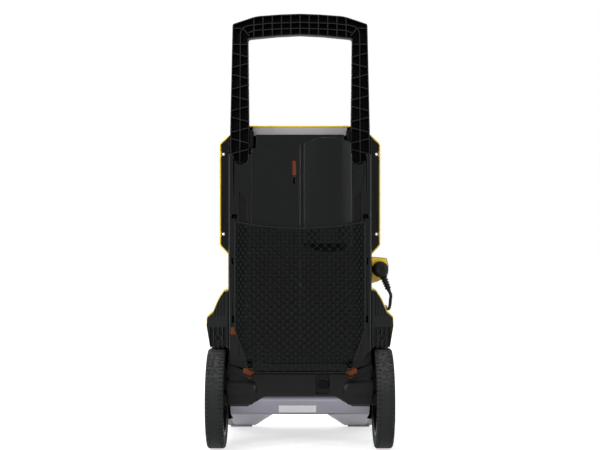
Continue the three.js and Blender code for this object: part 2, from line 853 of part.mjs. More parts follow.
// The fender reaches down to its lining, or to the shell's ledge if that is lower.
const fenderLowZ = Math.min(shellLedgeZ, axleZ + wellRadius - linerThickness);
function fender() {
  const innerX = shellHalfWidth + gap + 0.1;
  const trimmed = meet(
    prism('y', inset(flareOutline(), wall), shellFrontY, fenderRearY),
    block(innerX, flareHalfWidth, shellFrontY, fenderRearY, fenderLowZ, waistLowZ));
  const hollow = meet(
    prism('y', inset(flareOutline(), 2 * wall), shellFrontY - 1, fenderRearY - fenderFinDepth - wall),
    block(innerX + wall, flareHalfWidth, shellFrontY - 1, fenderRearY,
      shellLedgeZ + 4 * wall, waistLowZ - 2 * wall));
  let shape = cut(trimmed, wheelWell(wellRadius - linerThickness, shellHalfWidth));
  shape = cut(shape, cut(hollow, wheelWell(wellRadius + linerThickness, shellHalfWidth)));
  const holeX = shellHalfWidth + fenderHoleInset;
  const boss = rod('y', holeX, fenderHoleZ, fenderBossRadius, shellFrontY, fenderRearY + 2, 14);
  for (let i = 0; i < fenderFinCount; i += 1) {
    const x = shellHalfWidth + fenderFinInset + i * fenderFinPitch;
    const pocket = block(
      x, x + fenderFinPitch - fenderFinWidth, fenderRearY - fenderFinDepth, fenderRearY + 1,
      shellLedgeZ - past, flareLedgeZ - 2);
    shape = cut(shape, cut(pocket, boss));
  }
  for (let i = 0; i < fluteCount; i += 1) {
    const x = shellHalfWidth + fluteInset + i * flutePitch;
    shape = cut(shape, block(
      x, x + fluteWidth, fenderRearY - fluteDepth, fenderRearY + 1, flareShoulderZ + wall, waistLowZ));
  }
  shape = cut(shape, rod(
    'y', holeX, fenderHoleZ, fenderHoleRadius, fenderRearY - fenderFinDepth - 0.5, fenderRearY + 1, 14));
  return join(shape, wellLiner());
}
for (const [word, side] of sides) add(`fender_${word}`, flip(fender(), side), 'blackPlastic');

// ---------------------------------------------------------------- push handle
const handleRearY = handleFrontY + handleDepth;
const legOuterTopX = legOuterX - legLean;
const legInnerTopX = legInnerX + legInnerLean;

function handleOutline() {
  const crownLow = handleTopZ - crownHeight;
  const cornerZ = handleTopZ - crownCornerDrop;
  const bendZ = handleTopZ - crownBendDrop;
  const innerZ = crownLow - crownInnerDrop;
  return [
    [legOuterX, legBottomZ, 4], [legOuterX, legStraightZ], [legOuterTopX, cornerZ, 5],
    [crownBendX, bendZ, 70], [0, handleTopZ, 600], [-crownBendX, bendZ, 70],
    [-legOuterTopX, cornerZ, 5], [-legOuterX, legStraightZ], [-legOuterX, legBottomZ, 4],
    [-legInnerX, legBottomZ, 4], [-legInnerX, legStraightZ], [-legInnerTopX, innerZ, 6],
    [0, crownLow, 500], [legInnerTopX, innerZ, 6], [legInnerX, legStraightZ], [legInnerX, legBottomZ, 4],
  ];
}

function handleRibs() {
  const y0 = handleFrontY + 1;
  const ribs = [];
  const rib = (x0, z0, x1, z1) => {
    for (const side of [1, -1]) {
      ribs.push(strip([[side * x0, z0], [side * x1, z1]], handleRib, y0, handleRearY));
    }
  };
  for (let i = 0; i < crownRibCount; i += 1) {
    const x = (i - (crownRibCount - 1) / 2) * crownRibPitch;
    ribs.push(strip([[x, handleTopZ - crownHeight - 2 * past], [x, handleTopZ]], handleRib, y0, handleRearY));
  }
  const middleX = (legOuterX + legInnerX) / 2;
  const middleTopX = (legOuterTopX + legInnerTopX) / 2;
  const webZ = handleTopZ - crownWebDrop;
  const web = [[middleX, legBottomZ], [middleTopX, webZ - 9, 22], [70, webZ - 2.5]];
  const otherWeb = web.map(([x, z, radius]) => [-x, z, radius]).reverse();
  ribs.push(strip([...web, [0, webZ], ...otherWeb], handleRib, y0, handleRearY));
  const lowWebZ = handleTopZ - crownLowWebDrop;
  const lowWeb = [[legInnerTopX, lowWebZ - 10], [legInnerTopX - 12, lowWebZ - 5], [50, lowWebZ - 1.5]];
  const otherLowWeb = lowWeb.map(([x, z]) => [-x, z]).reverse();
  ribs.push(strip([...lowWeb, [0, lowWebZ], ...otherLowWeb], handleRib, y0, handleRearY));
  rib(legInnerTopX - 2, handleTopZ - crownHeight - past, middleTopX - past, webZ - 12);
  rib(middleTopX - 2, lowWebZ, legOuterTopX, lowWebZ);
  rib(legInnerTopX, legTopRibZ, legOuterTopX, legTopRibZ);
  const ribRows = Math.floor((legRibTopZ - legWindowBottomZ) / legRibPitch) + 1;
  for (let i = 0; i < ribRows; i += 1) {
    const z = legRibTopZ - i * legRibPitch;
    const fall = i % 2 === 0;
    rib(legInnerX - 1, fall ? z - legRibDrop : z, legOuterX + 1, fall ? z : z - legRibDrop);
  }
  return join(...ribs);
}

function pushHandle() {
  const outline = handleOutline();
  const full = prism('y', outline, handleFrontY, handleRearY);
  const pocket = prism('y', inset(outline, handleRib), handleFrontY + handleSkin, handleRearY + 1);
  return cut(full, cut(pocket, handleRibs()));
}
add('telescopic_handle', pushHandle(), 'ribbedPlastic');

function handleGuide() {
  const rearY = handleFrontY - gap;
  return join(
    block(guideLipX, legOuterX + gap, rearY - guideThickness, rearY, guideBottomZ, guideTopZ),
    block(guideLipX, legInnerX - 0.4, rearY - guideThickness, shellInnerY - gap, guideBottomZ, guideTopZ));
}
for (const [word, side] of sides) add(`handle_guide_${word}`, flip(handleGuide(), side), 'blackPlastic');

function latchButton() {
  const outer = legInnerX - latchToLeg;
  const face = [
    [outer - latchWidth, latchTopZ, 2], [outer, latchTopZ, 2], [outer, latchBottomZ + 9],
    [outer + latchHook, latchBottomZ + 6], [outer + latchHook, latchBottomZ],
    [outer - latchWidth * 0.7, latchBottomZ], [outer - latchWidth, latchBottomZ + 4],
  ];
  return prism('y', face, shellFrontY + wall + 1, shellInnerY - 1);
}
for (const [word, side] of sides) add(`latch_button_${word}`, flip(latchButton(), side), 'blackPlastic');

// ---------------------------------------------------------------- base tray
// The cord enters the tray straight in front of the coil's last turn.
const turnsPerLayer = coilTurns / coilLayers;
const coilOuterRadius = coilMeanRadius + (turnsPerLayer * coilPitch) / 2;
const glandX = coilX + coilOuterRadius;
const wheelFrontY = axleY - wellRadius - 2 * wall;
const lipY = coverNoseY + wall + 0.5;
const trayInnerY = 40;

function baseProfile(low) {
  return [
    [baseRearY, baseRearBottomZ, 4], [baseBevelY, baseBevelZ, 6], ...low,
    [baseFrontY, coverBottomZ - gap], [lipY, coverBottomZ - gap],
    [lipY, lipTopZ], [trayInnerY, lipTopZ], [trayInnerY, baseRearTopZ], [baseRearY, baseRearTopZ],
  ];
}

function archTunnel(offset) {
  const section = mirrored([
    [0, lipTopZ], [archHalfWidth + offset, lipTopZ], [archHalfWidth + offset, baseArchZ + offset],
    [archFootHalfWidth + offset, 0], [archFootHalfWidth + offset, -20],
  ]);
  const below = [
    [baseBevelY, baseBevelZ + offset], [baseFrontY - past, baseArchZ + offset],
    [baseFrontY - past, -20], [baseBevelY, -20],
  ];
  const climbing = prism('y', section, baseFrontY - past, baseBevelY)
    .transform([1, 0, 0, 0, 0, 1, archRise, 0, 0, 0, 1, 0, 0, 0, -archRise * baseFrontY, 1]);
  return meet(climbing, prism('x', below, -coverFootHalfWidth, coverFootHalfWidth));
}

// Closes the tray round the wheels and round the axle housings.
function sideTrim(depthIn) {
  const half = coverFootHalfWidth - depthIn;
  const lipHalf = half - wall - 0.5;
  const rearHalf = baseHalfWidth - depthIn;
  const topZ = baseRearTopZ + past;
  return join(
    block(-half, half, baseFrontY - past, wheelFrontY, -20, coverBottomZ),
    block(-lipHalf, lipHalf, baseFrontY - past, wheelFrontY, coverBottomZ - 1, topZ),
    block(-rearHalf, rearHalf, wheelFrontY - 1, baseRearY + 20, -20, topZ));
}

function baseShape(offset) {
  const footY = offset > 0 ? footRearY + 8 : footRearY;
  const profile = inset(baseProfile([[footY, footHeight], [baseFrontY, footHeight]]), offset);
  const body = prism('x', profile, -coverFootHalfWidth, coverFootHalfWidth);
  return cut(meet(body, sideTrim(offset)), archTunnel(offset));
}

function axleHousing() {
  const barrel = turned('x', housingY, housingZ, [
    [0, housingInnerX], [housingRadius - 9, housingInnerX + 1.5], [housingRadius - 2.5, housingInnerX + 7],
    [housingRadius, housingInnerX + 14], [housingRadius, housingOuterX], [0, housingOuterX],
  ], 18);
  const seat = prism('x', [
    [axleY - axleSeat, housingStripZ], [housingY + housingStripDepth, housingStripZ, 3],
    [housingY + housingStripDepth, housingZ], [axleY - axleSeat, housingZ],
  ], housingInnerX + 4, housingOuterX);
  const slant = prism('y', [
    [housingInnerX - 1, housingStripZ + 16], [housingInnerX + 3, housingStripZ + 12],
    [housingInnerX + 14, housingStripZ - 1], [housingInnerX - 1, housingStripZ - 1],
  ], baseBevelY - 10, housingY + 2 * housingRadius);
  const clear = block(
    baseHalfWidth - 1, housingOuterX + 1, trayInnerY, shellFrontY, baseBevelZ, baseRearTopZ);
  return cut(join(barrel, seat), slant, clear);
}

// Fills the corner of the rear wall up to the slanting lower edge of the shell.
function baseCorner() {
  const half = (x, rise) => [x, shellBottomZ + rise - 2 * gap];
  return prism('y', [
    [shellHalfWidth - shellMiddleInset, baseRearTopZ - 1], [baseHalfWidth, baseRearTopZ - 1],
    half(baseHalfWidth, shellSideRise - 1), half(shellHalfWidth - shellHeelInset, shellHeelRise),
    half(shellHalfWidth - shellMiddleInset, 0),
  ], baseRearY - wall, baseRearY);
}

// The ways of the net hook's arm over the rear wall and of its nose through it.
function hookWays() {
  const [frontY, rearY] = [baseRearY - wall - 1, baseRearY + 1];
  const armEndX = hookArmX + hookArmWidth;
  return join(
    block(hookArmX - gap, armEndX + gap, frontY, rearY, baseRearTopZ + gap, shellLedgeZ),
    block(hookArmX + 1 - gap, armEndX - 1 + gap, frontY, rearY,
      hookNoseZ - gap, hookNoseZ + hookNoseHeight + gap));
}

function baseTray() {
  const opened = join(baseShape(wall), block(
    -baseHalfWidth + wall, baseHalfWidth - wall, coverNoseY + 2 * wall + 0.5, baseRearY - wall,
    lipTopZ - past, lipTopZ + 50));
  const { left, right, bottomZ, topZ } = inletRecess;
  const recess = block(
    inletX - right, inletX + left, baseRearY - inletRecessDepth, baseRearY + past, bottomZ, topZ);
  const recessWalls = block(
    inletX - right - wall, inletX + left + wall, baseRearY - inletRecessDepth - wall, baseRearY,
    bottomZ - wall, baseRearTopZ);
  let tray = join(cut(baseShape(0), opened), meet(recessWalls, baseShape(0)));
  for (const [, side] of sides) {
    tray = cut(join(tray, flip(axleHousing(), side), flip(baseCorner(), side)), flip(hookWays(), side));
  }
  return cut(
    tray, recess, rod('x', axleY, axleZ, axleRadius + axleClearance, -flareHalfWidth, flareHalfWidth),
    rod('y', inletX, inletZ, inletRadius - 3 + gap, baseRearY - 30, baseRearY + 1),
    rod('y', glandX, glandZ, glandRootRadius + gap, baseFrontY - 2, baseFrontY + 12, 12));
}
add('base_tray', baseTray(), 'blackPlastic');

for (const [word, side] of sides) {
  const [innerX, outerX] = [archFootHalfWidth + footInset, coverFootHalfWidth - footInset];
  const foot = prism('z', [
    [innerX, baseFrontY + 2, 3], [outerX, baseFrontY + 2, 3], [outerX, footRearY - 1, 3],
    [innerX, footRearY - 1, 3],
  ], 0, footHeight - gap);
  add(`front_foot_${word}`, flip(foot, side), 'rubber');
}

// Bare rating plate on the sloping edge under the rear panel.
const bevelRun = baseRearY - baseBevelY;
const bevelFall = baseRearBottomZ - baseBevelZ;
const bevelAngle = Math.atan2(bevelFall, bevelRun);
const plateLift = plateThickness / 2 + gap;
const plate = add('rating_plate', new THREE.BoxGeometry(plateWidth, plateHeight, plateThickness), 'plate');
plate.rotation.x = bevelAngle;
plate.position.set(
  plateX, baseRearY - bevelRun * platePlace + Math.sin(bevelAngle) * plateLift,
  baseRearBottomZ - bevelFall * platePlace - Math.cos(bevelAngle) * plateLift);

// ---------------------------------------------------------------- water inlet
const inletSeatY = baseRearY - inletRecessDepth;
const inletPipe = turned('y', inletX, inletZ, [
  [0, inletFrontY], [inletRadius - 3, inletFrontY], [inletRadius - 3, inletSeatY + gap],
  [inletRadius, inletSeatY + gap], [inletRadius, inletSeatY + 3], [inletRadius - 4, inletSeatY + 3],
  [inletRadius - 4, inletSeatY + 6], [0, inletSeatY + 6],
]);
const inletWay = rod('y', inletX, inletZ, inletBore, inletFrontY - 2, inletSeatY + 8, 12);
add('inlet_coupling', cut(inletPipe, inletWay), 'brass');
add('inlet_cap', turned('y', inletX, inletZ, [
  [0, inletSeatY + 6 + gap], [inletRadius - 1, inletSeatY + 6 + gap], [inletRadius, inletSeatY + 7.5],
  [inletRadius, baseRearY + 1], [inletRadius - 2, baseRearY + 3], [0, baseRearY + 3],
], 20), 'blackPlastic');

// ---------------------------------------------------------------- wheels
const tyreOuterX = tyreInnerX + tyreWidth;
const axleEndX = tyreOuterX - axleEndInset;
add('axle', rod('x', axleY, axleZ, axleRadius, -axleEndX, axleEndX, 12), 'steel');

function tyre() {
  const [inner, outer] = [tyreInnerX, tyreOuterX];
  return turned('x', axleY, axleZ, [
    [rimRadius, inner + rimInset], [wheelRadius - tyreShoulder, inner], [wheelRadius, inner + tyreShoulder],
    [wheelRadius, outer - tyreShoulder], [wheelRadius - tyreShoulder, outer], [rimRadius, outer - rimInset],
  ], wheelSegments);
}

// One window between two spokes, as shares of the way from hub to felly and from spoke to spoke.
const windowCorners = [[0.2, 0.34], [0.88, 0.14], [0.92, 0.5], [0.88, 0.86], [0.2, 0.66]];

function rim() {
  const fellyInner = rimRadius - fellyDepth;
  const felly = turned('x', axleY, axleZ, [
    [rimRadius - gap, tyreInnerX + rimInset], [rimRadius - gap, tyreOuterX - rimInset],
    [fellyInner, tyreOuterX - rimInset], [fellyInner, tyreInnerX + rimInset],
  ], wheelSegments);
  const hub = rod('x', axleY, axleZ, hubRadius, tyreInnerX - hubOverhang, tyreOuterX - hubInset, 12);
  const windows = [];
  const step = (2 * Math.PI) / spokeCount;
  for (let i = 0; i < spokeCount; i += 1) {
    windows.push(prism('x', windowCorners.map(([out, share]) => {
      const radius = THREE.MathUtils.lerp(hubRadius, fellyInner, out);
      const angle = (i + share) * step;
      return [axleY + radius * Math.cos(angle), axleZ + radius * Math.sin(angle)];
    }), tyreInnerX, tyreOuterX));
  }
  const discX = tyreInnerX + discInset;
  const plate = rod('x', axleY, axleZ, rimRadius - fellyDepth / 2, discX, discX + discThickness, 24);
  const disc = cut(plate, ...windows);
  const bore = rod('x', axleY, axleZ, axleRadius + axleClearance + 0.1, tyreInnerX - 10, tyreOuterX + 10, 12);
  return cut(join(felly, hub, disc), bore);
}

function hubCap() {
  const seat = tyreOuterX - hubInset + gap;
  return turned('x', axleY, axleZ, [
    [0, seat], [hubCapRadius, seat], [hubCapRadius, seat + hubCapDepth - 3],
    [hubCapRadius - 4, seat + hubCapDepth], [0, seat + hubCapDepth],
  ], 20);
}

for (const [word, side] of sides) {
  add(`tyre_${word}`, flip(tyre(), side), 'rubber');
  add(`wheel_rim_${word}`, flip(rim(), side), 'blackPlastic');
  add(`hub_cap_${word}`, flip(hubCap(), side), 'yellowPlastic');
}

// ---------------------------------------------------------------- front controls
const controlRearY = coverFrontY - gap;
const controlFrontY = controlRearY - controlPanelThickness;
const switchFrontY = coverFrontY + wall + gap;
const controlPanel = prism('y', [
  [-controlPanelHalfWidth, controlPanelBottomZ, controlPanelRound],
  [controlPanelHalfWidth, controlPanelBottomZ, controlPanelRound],
  [controlPanelHalfWidth, controlPanelTopZ, controlPanelRound],
  [-controlPanelHalfWidth, controlPanelTopZ, controlPanelRound],
], controlFrontY, controlRearY);
const stemHole = rod('y', 0, knobZ, knobStemRadius + 1, controlFrontY - past, controlRearY + past, 16);
add('control_panel', cut(controlPanel, stemHole), 'blackPlastic');

const knobSeatY = controlFrontY - gap;
const knobGrip = knobGripWidth / 2;
const knob = join(
  turned('y', 0, knobZ, [
    [0, knobSeatY - knobDisc], [knobRadius - 2, knobSeatY - knobDisc], [knobRadius, knobSeatY - knobDisc + 2],
    [knobRadius, knobSeatY], [0, knobSeatY],
  ], 18),
  prism('y', [
    [-knobGrip, knobZ - knobRadius + 5, 4], [knobGrip, knobZ - knobRadius + 5, 4],
    [knobGrip, knobZ + knobRadius - 5, 4], [-knobGrip, knobZ + knobRadius - 5, 4],
  ], knobSeatY - knobDepth, knobSeatY - knobDisc / 2),
  rod('y', 0, knobZ, knobStemRadius, knobSeatY - 2, switchFrontY + switchDepth / 2, 16));
add('switch_knob', knob, 'blackPlastic');

const switchHalf = switchSize / 2;
const switchBody = block(
  -switchHalf, switchHalf, switchFrontY, switchFrontY + switchDepth, knobZ - switchHalf, knobZ + switchHalf);
const stemBore = rod(
  'y', 0, knobZ, knobStemRadius + gap, coverFrontY, switchFrontY + switchDepth / 2 + 2, 16);
add('main_switch', cut(switchBody, stemBore), 'blackPlastic');

const outletSeatY = coverNoseY - gap;
const outlet = turned('y', outletX, outletZ, [
  [0, outletSeatY - 4.3], [outletRadius + outletCollar - 1, outletSeatY - 4.3],
  [outletRadius + outletCollar, outletSeatY - 2.7], [outletRadius + outletCollar, outletSeatY],
  [outletRadius - gap, outletSeatY], [outletRadius - gap, coverNoseY + outletDepth],
  [0, coverNoseY + outletDepth],
]);
const outletEndY = coverNoseY + outletDepth;
const outletWay = rod('y', outletX, outletZ, outletBore, outletSeatY - past, outletEndY - 4, 12);
add('pressure_outlet', cut(outlet, outletWay), 'brass');

// ---------------------------------------------------------------- motor and pump
const motorX = bulgeX;
const atMotor = (radius, from, to, segments) => rod('z', motorX, motorY, radius, from, to, segments);
const capThickness = bearingWidth + 1;

add('motor_housing', cut(
  atMotor(motorRadius, motorBottomZ, motorTopZ, 20),
  atMotor(motorRadius - wall, motorBottomZ - 1, motorTopZ - capThickness, 20),
  atMotor(bearingRadius, motorTopZ - 20, motorTopZ + 1, 14)), 'aluminium');

const coreBottomZ = (motorBottomZ + motorTopZ - capThickness - rotorHeight) / 2;
const coreTopZ = coreBottomZ + rotorHeight;
add('motor_stator', cut(
  atMotor(motorRadius - wall - 2 * gap, coreBottomZ, coreTopZ, 20),
  atMotor(rotorRadius + 1, coreBottomZ - 1, coreTopZ + 1, 16)), 'steel');
add('motor_rotor', join(
  atMotor(rotorRadius, coreBottomZ + 2, coreTopZ - 2, 16),
  atMotor(shaftRadius, shaftBottomZ, shaftTopZ, 12)), 'steel');

function bearing(bottomZ) {
  return cut(
    atMotor(bearingRadius - gap, bottomZ, bottomZ + bearingWidth, 14),
    atMotor(shaftRadius + gap, bottomZ - 1, bottomZ + bearingWidth + 1, 12));
}
add('motor_bearing_upper', bearing(motorTopZ - bearingWidth), 'steel');
add('motor_bearing_lower', bearing(motorBottomZ - gap - bearingWidth), 'steel');

const fanBottomZ = motorTopZ + fanGap;
function coolingFan() {
  const blades = [];
  for (let i = 0; i < fanBlades; i += 1) {
    const blade = block(shaftRadius + fanGap, fanRadius, -1, 1, fanBottomZ, fanBottomZ + fanHeight);
    blades.push(blade.rotate([0, 0, (360 * i) / fanBlades]).translate([motorX, motorY, 0]));
  }
  const disc = atMotor(fanRadius, fanBottomZ, fanBottomZ + 2, 16);
  const hub = atMotor(shaftRadius + hubThickness, fanBottomZ, fanBottomZ + fanHeight, 12);
  const bore = atMotor(shaftRadius + gap, fanBottomZ - 1, fanBottomZ + fanHeight + 1, 12);
  return cut(join(disc, hub, ...blades), bore);
}
add('cooling_fan', coolingFan(), 'greyPlastic');

const pumpTopZ = motorBottomZ - gap;
const chamberTopZ = pumpTopZ - bearingWidth - 4;
const pistonSpots = Array.from({ length: pistonCount }, (_, i) => {
  const angle = (2 * Math.PI * i) / pistonCount;
  return [motorX + pistonPitchRadius * Math.cos(angle), motorY + pistonPitchRadius * Math.sin(angle)];
});
function pumpBody() {
  const pad = block(
    motorX - pumpPadHalfWidth, motorX + pumpPadHalfWidth, motorY, shellInnerY - gap,
    pumpBottomZ + 10, pumpChamberBottomZ + 30);
  const whole = join(atMotor(pumpRadius, pumpBottomZ, pumpTopZ, 20), pad);
  const bores = pistonSpots.map(([x, y]) => rod(
    'z', x, y, pistonRadius + gap, pumpBottomZ - 1, pumpChamberBottomZ + 1, 12));
  return cut(
    whole, atMotor(pumpChamberRadius, pumpChamberBottomZ, chamberTopZ, 16),
    atMotor(bearingRadius, chamberTopZ - 1, pumpTopZ + 1, 14), ...bores);
}
add('pump_body', pumpBody(), 'aluminium');

// The wobble plate's low side clears the pistons' heads all the way round.
function wobblePlate() {
  const half = wobbleThickness / 2;
  const disc = rod('z', 0, 0, wobbleRadius, -half, half, 16).rotate([0, wobbleTilt, 0]);
  const hub = rod('z', 0, 0, shaftRadius + hubThickness, -half - 1, half + 5, 12);
  const bore = rod('z', 0, 0, shaftRadius + gap, -20, 20, 12);
  return cut(join(disc, hub), bore).translate([motorX, motorY, wobbleZ]);
}
add('wobble_plate', wobblePlate(), 'steel');

const wobbleDip = wobbleRadius * Math.sin(THREE.MathUtils.degToRad(wobbleTilt));
const pistonTopZ = wobbleZ - wobbleDip - wobbleThickness / 2 - 2 * gap;
pistonSpots.forEach(([x, y], i) => {
  add(`piston_${i + 1}`, rod('z', x, y, pistonRadius, pumpBottomZ + 6, pistonTopZ, 12), 'steel');
});

const headTopZ = pumpBottomZ - gap;
const headBottomZ = headTopZ - headHeight;
const headMidZ = headTopZ - headHeight / 2;
const headPortY = motorY - portY;
const headFrontY = motorY - headPortReach;
const headPortZ = headBottomZ - headPortDrop;
add('pump_head', join(
  atMotor(pumpRadius - 2, headBottomZ, headTopZ, 20),
  rod('y', motorX, headMidZ, portRadius, headFrontY, motorY, 12),
  rod('z', motorX, headPortY, portRadius, headPortZ, headMidZ, 12)), 'aluminium');

const hoseTurnY = inletFrontY - hoseBend;
add('inlet_hose', pipe([
  [inletX, inletFrontY - gap, inletZ], [inletX, inletFrontY - hoseLead, inletZ],
  [inletX, hoseTurnY, inletZ + hoseBendRise], [inletX, hoseTurnY, inletZ + hoseLoopRise],
  [motorX, headPortY - hoseEndSet, headPortZ - hoseEndDrop], [motorX, headPortY, headPortZ - hoseEndLead],
  [motorX, headPortY, headPortZ - gap],
], hoseRadius, 6, 13), 'rubber');

const outletRearY = coverNoseY + outletDepth;
add('high_pressure_pipe', pipe([
  [motorX, headFrontY - gap, headMidZ], [motorX, headFrontY - pipeLead, headMidZ],
  [motorX + pipeTurnSet, headFrontY - pipeTurn, headMidZ - pipeTurnDrop],
  [pipeMiddleX, pipeMiddleY, pipeMiddleZ], [outletX, pipeLowY, outletZ + pipeLowRise],
  [outletX, outletRearY + pipeEndLead, outletZ], [outletX, outletRearY + gap, outletZ],
], pipeRadius, 6, 14), 'steel');

const boxHalf = switchBoxSize / 2;
const boxX = motorX + pumpRadius - 2 + gap;
add('pressure_switch', block(
  boxX, boxX + switchBoxSize - 2, motorY - boxHalf, motorY + boxHalf, headMidZ - boxHalf, headMidZ + boxHalf),
'blackPlastic');
add('run_capacitor', rod('z', capacitorX, shellInnerY - gap - capacitorRadius, capacitorRadius,
  capacitorBottomZ, capacitorBottomZ + capacitorHeight, 16), 'aluminium');

// ---------------------------------------------------------------- plug and bracket
const bracketRearY = plugFrontY - gap;
const bracketRootX = -coverWaistHalfWidth - gap;
const pinXs = [plugX - pinPitch / 2, plugX + pinPitch / 2];
function plugBracket() {
  const face = [
    [bracketRootX, plugZ + 27], [plugX - 15, plugZ + 24, 3], [plugX - 19, plugZ + 8, 3],
    [plugX - 18, plugZ - 14, 6], [plugX + 4, plugZ - 27, 5], [bracketRootX, plugZ - 31],
  ];
  const holes = pinXs.map((x) => rod(
    'y', x, plugZ, pinRadius + 0.4, bracketRearY - bracketDepth - 1, bracketRearY + 1, 12));
  return cut(prism('y', face, bracketRearY - bracketDepth, bracketRearY), ...holes);
}
add('plug_bracket', plugBracket(), 'yellowPlastic');

const plugMidY = plugFrontY + plugDepth / 2;
const plugRearY = plugFrontY + plugDepth;
const reliefStart = plugRadius - 4;
const tilt = THREE.MathUtils.degToRad(reliefTilt);
const alongRelief = (reach) => [plugX - reach * Math.sin(tilt), plugMidY, plugZ - reach * Math.cos(tilt)];
function mainsPlug() {
  const head = turned('y', plugX, plugZ, [
    [0, plugFrontY], [plugRadius - 2, plugFrontY], [plugRadius, plugFrontY + 3], [plugRadius, plugRearY - 7],
    [plugRadius - 5, plugRearY], [0, plugRearY],
  ], 24);
  const pins = pinXs.map((x) => rod('y', x, plugZ, pinRadius, plugFrontY - pinLength, plugFrontY + 2, 12));
  const profile = [[0, 0], [reliefRadius + 1, 0]];
  const pitch = (reliefLength - 8) / reliefRings;
  for (let i = 0; i < reliefRings; i += 1) {
    const along = 6 + i * pitch;
    const radius = reliefRadius - i * reliefTaper;
    profile.push([radius, along], [radius, along + 0.6 * pitch]);
    profile.push([radius - reliefGroove, along + 0.7 * pitch]);
  }
  profile.push([cordRadius + 0.6, reliefLength], [0, reliefLength]);
  const relief = turned('z', 0, 0, profile, 8)
    .rotate([0, 180 + reliefTilt, 0])
    .translate(alongRelief(reliefStart));
  return join(head, ...pins, relief);
}
add('mains_plug', mainsPlug(), 'rubber');

// ---------------------------------------------------------------- mains cord
const glandTipY = baseFrontY - gap - glandLength;
function cordGland() {
  const profile = [
    [0, baseFrontY + 8], [glandRootRadius, baseFrontY + 8], [glandRootRadius, baseFrontY - gap],
    [glandCollarRadius, baseFrontY - gap], [glandCollarRadius, baseFrontY - wall],
  ];
  const pitch = (glandLength - 7) / reliefRings;
  for (let i = 0; i < reliefRings; i += 1) {
    const along = baseFrontY - 5 - i * pitch;
    const radius = glandRootRadius + 1 - i * 0.6;
    profile.push([radius, along], [radius, along - 3.8], [radius - reliefGroove, along - 4.2]);
  }
  profile.push([cordRadius + 0.5, glandTipY], [0, glandTipY]);
  return turned('y', glandX, glandZ, profile, 8);
}
add('cord_gland', cordGland(), 'rubber');

// Four piled layers that spiral in and out, climbing a layer where the spiral turns back.
const coilBottomZ = cordRadius + 0.2;
function coilLine() {
  const line = [];
  const perLayer = turnsPerLayer * coilSteps;
  const climb = coilSteps / 4;
  for (let i = 0; i <= coilTurns * coilSteps; i += 1) {
    const layer = Math.min(coilLayers - 1, Math.floor(i / perLayer));
    const along = i - layer * perLayer;
    const share = layer % 2 === 0 ? along / perLayer : 1 - along / perLayer;
    const radius = coilOuterRadius - share * turnsPerLayer * coilPitch;
    let height = layer;
    const toNext = perLayer - along;
    if (toNext < climb && layer < coilLayers - 1) height += 0.5 * (1 - toNext / climb);
    if (along < climb && layer > 0) height -= 0.5 * (1 - along / climb);
    const angle = Math.PI + (2 * Math.PI * i) / coilSteps;
    line.push(new THREE.Vector3(
      coilX + radius * Math.cos(angle), coilY + radius * Math.sin(angle),
      coilBottomZ + height * coilLayerPitch));
  }
  const lead = new THREE.Vector3(0, 2 * cordRadius, 0);
  return [line[0].clone().add(lead), ...line, line[line.length - 1].clone().add(lead)];
}

// Least free distance between stretches of the coil that aren't neighbours along it.
function leastCoilGap(line) {
  let least = Infinity;
  const chord = new THREE.Line3();
  const closest = new THREE.Vector3();
  for (let i = 0; i < line.length; i += 1) {
    for (let k = i + coilSteps / 2; k < line.length - 1; k += 1) {
      chord.set(line[k], line[k + 1]);
      chord.closestPointToPoint(line[i], true, closest);
      least = Math.min(least, closest.distanceTo(line[i]) - 2 * cordRadius);
    }
  }
  return least;
}

const coil = coilLine();
console.log(`cord coil: least gap to itself ${leastCoilGap(coil).toFixed(2)} mm`);
add('cord_coil', woundTube(coil, cordRadius, coilSides), 'rubber');

const coilStart = coil[0];
const coilEnd = coil[coil.length - 1];
const tip = alongRelief(reliefStart + reliefLength + gap);
const straight = alongRelief(reliefStart + reliefLength + 9);
const plugLead = [
  tip, straight,
  [-197.6, 80, 322], [-197.2, 70, 309], [-196.3, 52, 300.5], [-195.8, 30, 298.2], [-195.6, -5, 298],
  [-196, -40, 298], [-196, -62, 298], [-195, -80, 292], [-193.5, -93, 276], [-192, -98.5, 252],
  [-190, -99, 190], [-189, -99, 120], [-188, -99, 60], [-188, -101, 34], [-188.5, -110, 15],
  [-190, -125, 5.5], [-193, -145, coilBottomZ], [-202, -175, coilBottomZ], [-213, -205, coilBottomZ],
  [-221, -236, coilBottomZ], [coilStart.x - 0.6, -262, coilBottomZ],
  [coilStart.x, coilStart.y + 10, coilBottomZ], [coilStart.x, coilStart.y + gap, coilStart.z],
];
const plugLeadSteps = 34;
add('cord_at_plug', pipe(plugLead, cordRadius, leadSides, plugLeadSteps), 'rubber');

const machineLead = [
  [coilEnd.x, coilEnd.y + gap, coilEnd.z], [coilEnd.x, coilEnd.y + 8, coilEnd.z + 0.2],
  [glandX, coilEnd.y + 24, coilEnd.z + 7], [glandX, glandTipY - 12, glandZ - 2.2],
  [glandX, glandTipY - 6, glandZ], [glandX, glandTipY - gap, glandZ],
];
add('cord_at_machine', pipe(machineLead, cordRadius, leadSides, 6), 'rubber');

// ---------------------------------------------------------------- storage net
function netOutline() {
  return mirrored([
    [0, netTopZ - netSag, 200], [netHalfWidth, netTopZ, 3], [netHalfWidth, netTaperZ, 20],
    [netBottomHalfWidth, netBottomZ + 12, 10], [netBottomHalfWidth - 30, netBottomZ, 30],
  ]);
}

